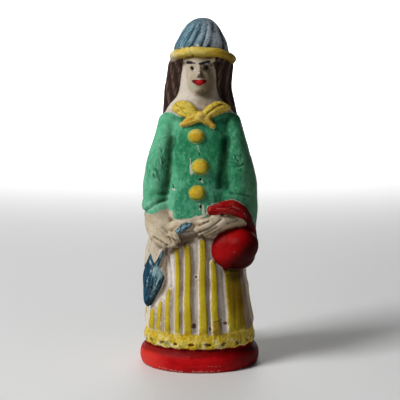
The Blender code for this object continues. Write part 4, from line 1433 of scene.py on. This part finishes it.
    # The base: lighter towards her right as painted light, darker towards her left and under the hem as
    # painted shade
    red_share = painted("red_base", 0.45, 0.3) * (1 - hem_share * (z - 0.6 + edge * 0.5).soft(-0.4, 0.4))
    coat(red_share, tones(RED, level * 0.5 + patches * 0.5))
    coat(red_share * (-x - 14 + edge * 3).soft(0, 12) * 0.7, (0.72, 0.045, 0.03))
    shade(red_share * x.soft(8, 28) * 0.9, (0.18, 0.12, 0.12))
    shade(red_share * (z + 3.2 + edge).soft(0, 2.6) * 0.8, (0.26, 0.2, 0.2))

    # The face, brushed on
    brown = (0.035, 0.022, 0.018)
    spill = mark((z - 147.6 + edge).least(spot(0, 149.5, 9.6, 3.6)), 0.4) * (1 - yellow_share)
    spill = spill * (1 - painted("hair"))
    coat(spill * 0.75, (0.5, 0.38, 0.13))
    # A painted shadow line under the band
    under_band = marks(BAND_SHADOW, 0.4, 0.8) * (1 - yellow_share)
    coat(under_band * 0.75, (0.16, 0.1, 0.03))
    # Painted shade and dirt on her left cheek and under the mouth
    olive_shade_and_dirt = spot(4.7, 136.6, 3.6, 7.6).soft(-1, 1.6).most(spot(0.9, 131.4, 3, 1.9).soft(-0.8, 1.2))
    shade(olive_shade_and_dirt * front * 0.8, (0.36, 0.3, 0.19))
    coat(spot(-3.6, 134.2, 1.9, 2.4).soft(-0.6, 1.2) * front * 0.35, (0.22, 0.36, 0.2))
    coat(spot(1.8, 129.8, 1.8, 1.4).soft(-0.6, 0.8) * front * 0.35, (0.16, 0.28, 0.16))
    # Painted shadow under her chin and down the throat
    shadow_under_chin = spot(2.6, 127.6, 4.6, 5).soft(-1, 2.5).most(spot(0.6, 122.8, 1.6, 4).soft(-0.6, 1.2) * 0.6)
    shade(shadow_under_chin * front * (0.4 + upright * 0.5) * painted("pale"), (0.46, 0.38, 0.28))
    nostril = (141.8 - z).least(z - 138.2).least(2.1 - abs(x - 0.6) - (z - 138.4) * 0.5)
    coat(nostril.soft(-0.4, 0.6) * front * 0.9, (0.075, 0.052, 0.032))
    # A painted highlight on the nose's tip
    coat(mark(spot(-0.1, 140.7, 0.45, 0.5), 0.15) * 0.8, SLIP[1])
    coat(mark(spot(-2.6, 142.6, 0.9, 0.9), 0.3) * 0.5, SLIP[1])
    coat(marks(EYE_RIMS, 0.12) * 0.8, (0.13, 0.09, 0.06))
    coat(mark(spot(3.3, 143.1, 1.75, 1.75), 0.25), (0.12, 0.08, 0.05))
    coat(mark(stroke((0.8, 145), (6.2, 144.4), 0.42, 0.2), 0.15) * 0.85, (0.1, 0.07, 0.06))
    coat(mark(spot(3.5, 143.4, 0.85, 0.95)), SOOT)
    coat(mark(stroke((-3.9, 143.5), (-3.5, 142.9), 0.85, 0.8)), brown)
    coat(mark(spot(-3.8, 143.3, 0.65, 0.75)), SOOT)
    brows = marks(BROWS).most(mark(stroke((4.4, 146), (6.4, 144.9), 0.55, 0.45), 0.4) * 0.7)
    coat(brows, (0.02, 0.019, 0.024))
    lower_lip = z - (abs(x + 0.1) - 0.7).most(0) * 0.6 - 134.4
    upper_lip = 137.5 - z - abs(abs(x + 0.1) - 1.8) * 0.14
    lips = mark(upper_lip.least(lower_lip).least(3.6 - abs(x + 0.1)), 0.15)
    # The lips, lighter in the middle as a painted highlight
    reds = tones(((0.2, 0.003, 0.006), (0.47, 0.012, 0.014)), spot(0.2, 136.2, 2.6, 2.6) * 0.5)
    coat(lips, reds)
    coat(mark(spot(-3.1, 136.8, 0.7, 0.5)), (0.1, 0.006, 0.008))
    shade(mark(spot(2.9, 136.6, 0.9, 0.5), 0.4) * lips * 0.6, (0.4, 0.3, 0.3))

    # Chips, smears and dirt
    coat(spot(4.6, 107.6, 4.2, 3.6).soft(-1, 2.4) * front * green_share * 0.5, GREEN[0])
    chip = marks(CHIPS, 0.2, 0.9) * green_share
    coat(chip * (speckle * 0.9 + 0.35).least(1) * 0.85, SLIP[1])
    dark = mark(nearest(spot, ((0.4, 87.6, 0.75, 0.7), (0.5, 74, 0.6, 1)))).most(marks(SOOT_STROKES))
    coat(dark * green_share, SOOT)
    spots = mark(spot(-2.8, 13.8, 1.3, 1.3)).most(mark(spot(13, 14.6, 1.1, 0.8)))
    spots = spots.most(mark(spot(5.4, 12.2, 0.8, 0.9)) * 0.8)
    coat(spots * (0.45 + speckle * 0.8).least(1), (0.085, 0.018, 0.014))
    ochre = mark((x - 7.2).least(11 - x).least(z - 8.8).least(15.6 - z), 0.3)
    coat(ochre * 0.85, tones(((0.24, 0.13, 0.015), (0.44, 0.27, 0.03)), speckle))
    coat(marks(OCHRE_EDGES, 0.15) * 0.6, brown)
    coat(mark(stroke((7.2, 15.9), (10.8, 16.4), 0.22, 0.35)) * 0.85, brown)

    # The hands, painted shade in their creases, and painted shadows of the hands and the bag on the skirt
    # Painted shade in the creases of the hands
    creases = marks(HAND_CREASE_SHADES, 0.45, 0.5)
    hands_share = painted("hands", 0.1)
    shade(creases * hands_share * 0.5, (0.3, 0.21, 0.13))
    knuckles = spot(-13.4, 57.6, 3.6, 4.6).soft(-0.5, 2) * front * hands_share
    shade(knuckles * place.grain(0.6, 3, 0.6).soft(0.52, 0.42) * 0.3, (0.46, 0.34, 0.22))
    soiled = place.grain(0.32, 4, 0.65).soft(0.5, 0.62) * hands_share * front
    shade(soiled * 0.4, (0.62, 0.5, 0.38))
    # Painted shade on the lower side of her left hand
    shadow_under_hand = (62 + (x - 3) * 0.3 - z + edge * 1.4).soft(-0.5, 3.5) * x.soft(-3, 0)
    shade(shadow_under_hand * hands_share * front * 0.5, (0.5, 0.38, 0.26))
    # Painted shade on her left hand towards her left, away from the light
    shade(hands_share * x.soft(10, 18) * front * 0.3, (0.58, 0.45, 0.32))
    # Painted shadow of the hands on the skirt below them
    hands_shadow_on_skirt = (nearest(stroke, HAND_SHADOW) + edge * 1.2).soft(-1.2, 1.4) * front
    shade(hands_shadow_on_skirt * 0.9, (0.26, 0.18, 0.09))
    skirt_front = front * on_skirt
    # Painted shadow of the bag on the skirt below it
    shadow_below_bag = nearest(spot, ((19.4, 40.6, 9, 6), (15.6, 41.5, 5, 3.4))).soft(-2, 3) * skirt_front
    shade(shadow_below_bag * 0.85, (0.2, 0.15, 0.09))
    # Painted shade on the skirt towards her left, away from the light
    shade(x.soft(15, 25) * skirt_front * (0.85 - hem_share * 0.8), (0.46, 0.33, 0.21))
    # Painted shade and dirt below the bag
    shade(spot(19.2, 30, 7.5, 15).soft(-1, 4) * skirt_front * 0.75, (0.54, 0.4, 0.22))

    # Worn edges, dirt and painted shade in the hollows, and the base's chipped lower rim
    coat(marks(BARE_EDGES, 0.18) * 0.75 * (1 - bag_share), SLIP[1])
    coat(worn * (1 - lips) * (0.35 - red_share * 0.25 - on_skirt * 0.3), SLIP[1])
    # Painted shade and dirt in the small hollows, less on the skirt and the jacket
    shade(hollow * (0.8 - on_skirt * 0.3 - green_share * 0.3), (0.38, 0.31, 0.24))
    # Painted shade in the broad hollows
    broad_hollow_shade = (-broad).soft(0.1, 0.8) * (0.45 - on_skirt * 0.3 - green_share * 0.2)
    shade(broad_hollow_shade, (0.52, 0.44, 0.36))
    underrim = -9.3 - z + (place.grain(0.3, 3) - 0.5) * 1.6
    chipped = nearest(stroke, CHIPPED_RIM).most(underrim)
    chipped = (chipped + (speckle - 0.5) * 2.2 - 0.2).soft(-0.1, 0.3)
    coat(chipped * 0.7, tones(((0.5, 0.1, 0.08), (0.66, 0.46, 0.4)), speckle, 0.45, 0.62))
    foot = (-9.75 - z + (speckle - 0.5) * 0.4).soft(-0.1, 0.1)
    coat(foot, tones(CLAY, clouds))

    # Gloss and the finest relief
    gloss = red_share.most(bag_share) * (1 - chipped)
    roughness = 0.6 - gloss * 0.12 - green_share * 0.12 + (speckle - 0.5) * 0.25 + hollow * 0.12
    relief = (upright - 0.5) * 0.03 + (speckle - 0.5) * 0.12 + (place.grain(0.45, 3) - 0.5) * 0.25
    crinkled = nearest(spot, ((-20, 97, 5, 11), (19.6, 97, 4.5, 5.5))).soft(-1, 2) * front
    crinkled = crinkled.most(spot(20, 76, 8, 3.5).soft(-1, 1.5) * front * 0.7) * green_share
    relief = relief + hem_share * (place.grain(0.6, 2) - 0.5) + crumbs * 1.2
    relief = relief + crinkled * (place.grain(0.8, 3, 0.65, lean=24, length=1.8) - 0.5) * 1.3
    relief = relief + green_share * (dabs * 0.5 - 0.2) + yellow_share * (patches * 1.6 + speckle * 0.5 - 1)
    bump = tools.node("ShaderNodeBump", {"Strength": 1, "Distance": UNIT, "Height": relief})
    shader = tools.node(
        "ShaderNodeBsdfPrincipled",
        {"Base Color": look, "Roughness": roughness, "Specular IOR Level": 0.07, "Normal": bump},
    )
    output = tree.nodes.new("ShaderNodeOutputMaterial")
    tree.links.new(shader.socket, output.inputs["Surface"])
    return material


figure.data.materials.clear()
figure.data.materials.append(paint_figure())
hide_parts(NODE)
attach(figure, "root")


def plain(name, shade, glow=0):
    """A matt material of one colour."""
    material = bpy.data.materials.new(name)
    material.use_nodes = True
    shader = material.node_tree.nodes["Principled BSDF"]
    shader.inputs["Base Color"].default_value = opaque(shade)
    shader.inputs["Roughness"].default_value = 0.6
    shader.inputs["Emission Color"].default_value = opaque(shade)
    shader.inputs["Emission Strength"].default_value = glow
    return material


def staged(name, size, place, turn, material):
    """A plain sheet that the figure stands on or before."""
    deselect()
    bpy.ops.mesh.primitive_plane_add(size=size, location=place, rotation=turn)
    sheet = settle(bpy.context.object, name)
    sheet.data.materials.append(material)


staged("floor", 8, (0, 0, 0), (0, 0, 0), plain("pale_floor", (0.78, 0.78, 0.78)))
upright_turn = (math.radians(90), 0, 0)
staged("backdrop", 3.2, (0, 3, 1.55), upright_turn, plain("pale_backdrop", (0.93, 0.94, 0.95), 0.9))


def lamp(name, place, size, power, aim=(0, 0, 90 * UNIT)):
    """A soft square lamp that looks at the figure's middle, or at another place."""
    deselect()
    bpy.ops.object.light_add(type="AREA", location=place)
    light = bpy.context.object
    light.name = name
    light.data.size = size
    light.data.energy = power
    light.rotation_euler = (Vector(aim) - Vector(place)).to_track_quat("-Z", "Y").to_euler()


lamp("window_light", (-0.85, -0.55, 0.98), 0.45, 17)
lamp("room_light", (0.9, -0.9, 0.5), 1.2, 0.18)
lamp("floor_light", (0, 1.6, 1.4), 1.6, 28, (0, 2.9, 0))
world = bpy.data.worlds.new("studio")
world.use_nodes = True
background = world.node_tree.nodes["Background"]
background.inputs["Color"].default_value = opaque((1, 0.92, 0.82))
background.inputs["Strength"].default_value = 0.04
bpy.context.scene.world = world
bpy.context.scene.view_settings.view_transform = "Standard"

# The camera, in metres, degrees and millimetres, where the photo was taken from
CAMERA_PLACE = (0.00026, -0.45, 0.125)
CAMERA_PITCH = 84.97
LENS = 77.31
deselect()
bpy.ops.object.camera_add(location=CAMERA_PLACE, rotation=(math.radians(CAMERA_PITCH), 0, 0))
camera = bpy.context.object
camera.data.sensor_width = 36
camera.data.lens = LENS
bpy.context.scene.camera = camera
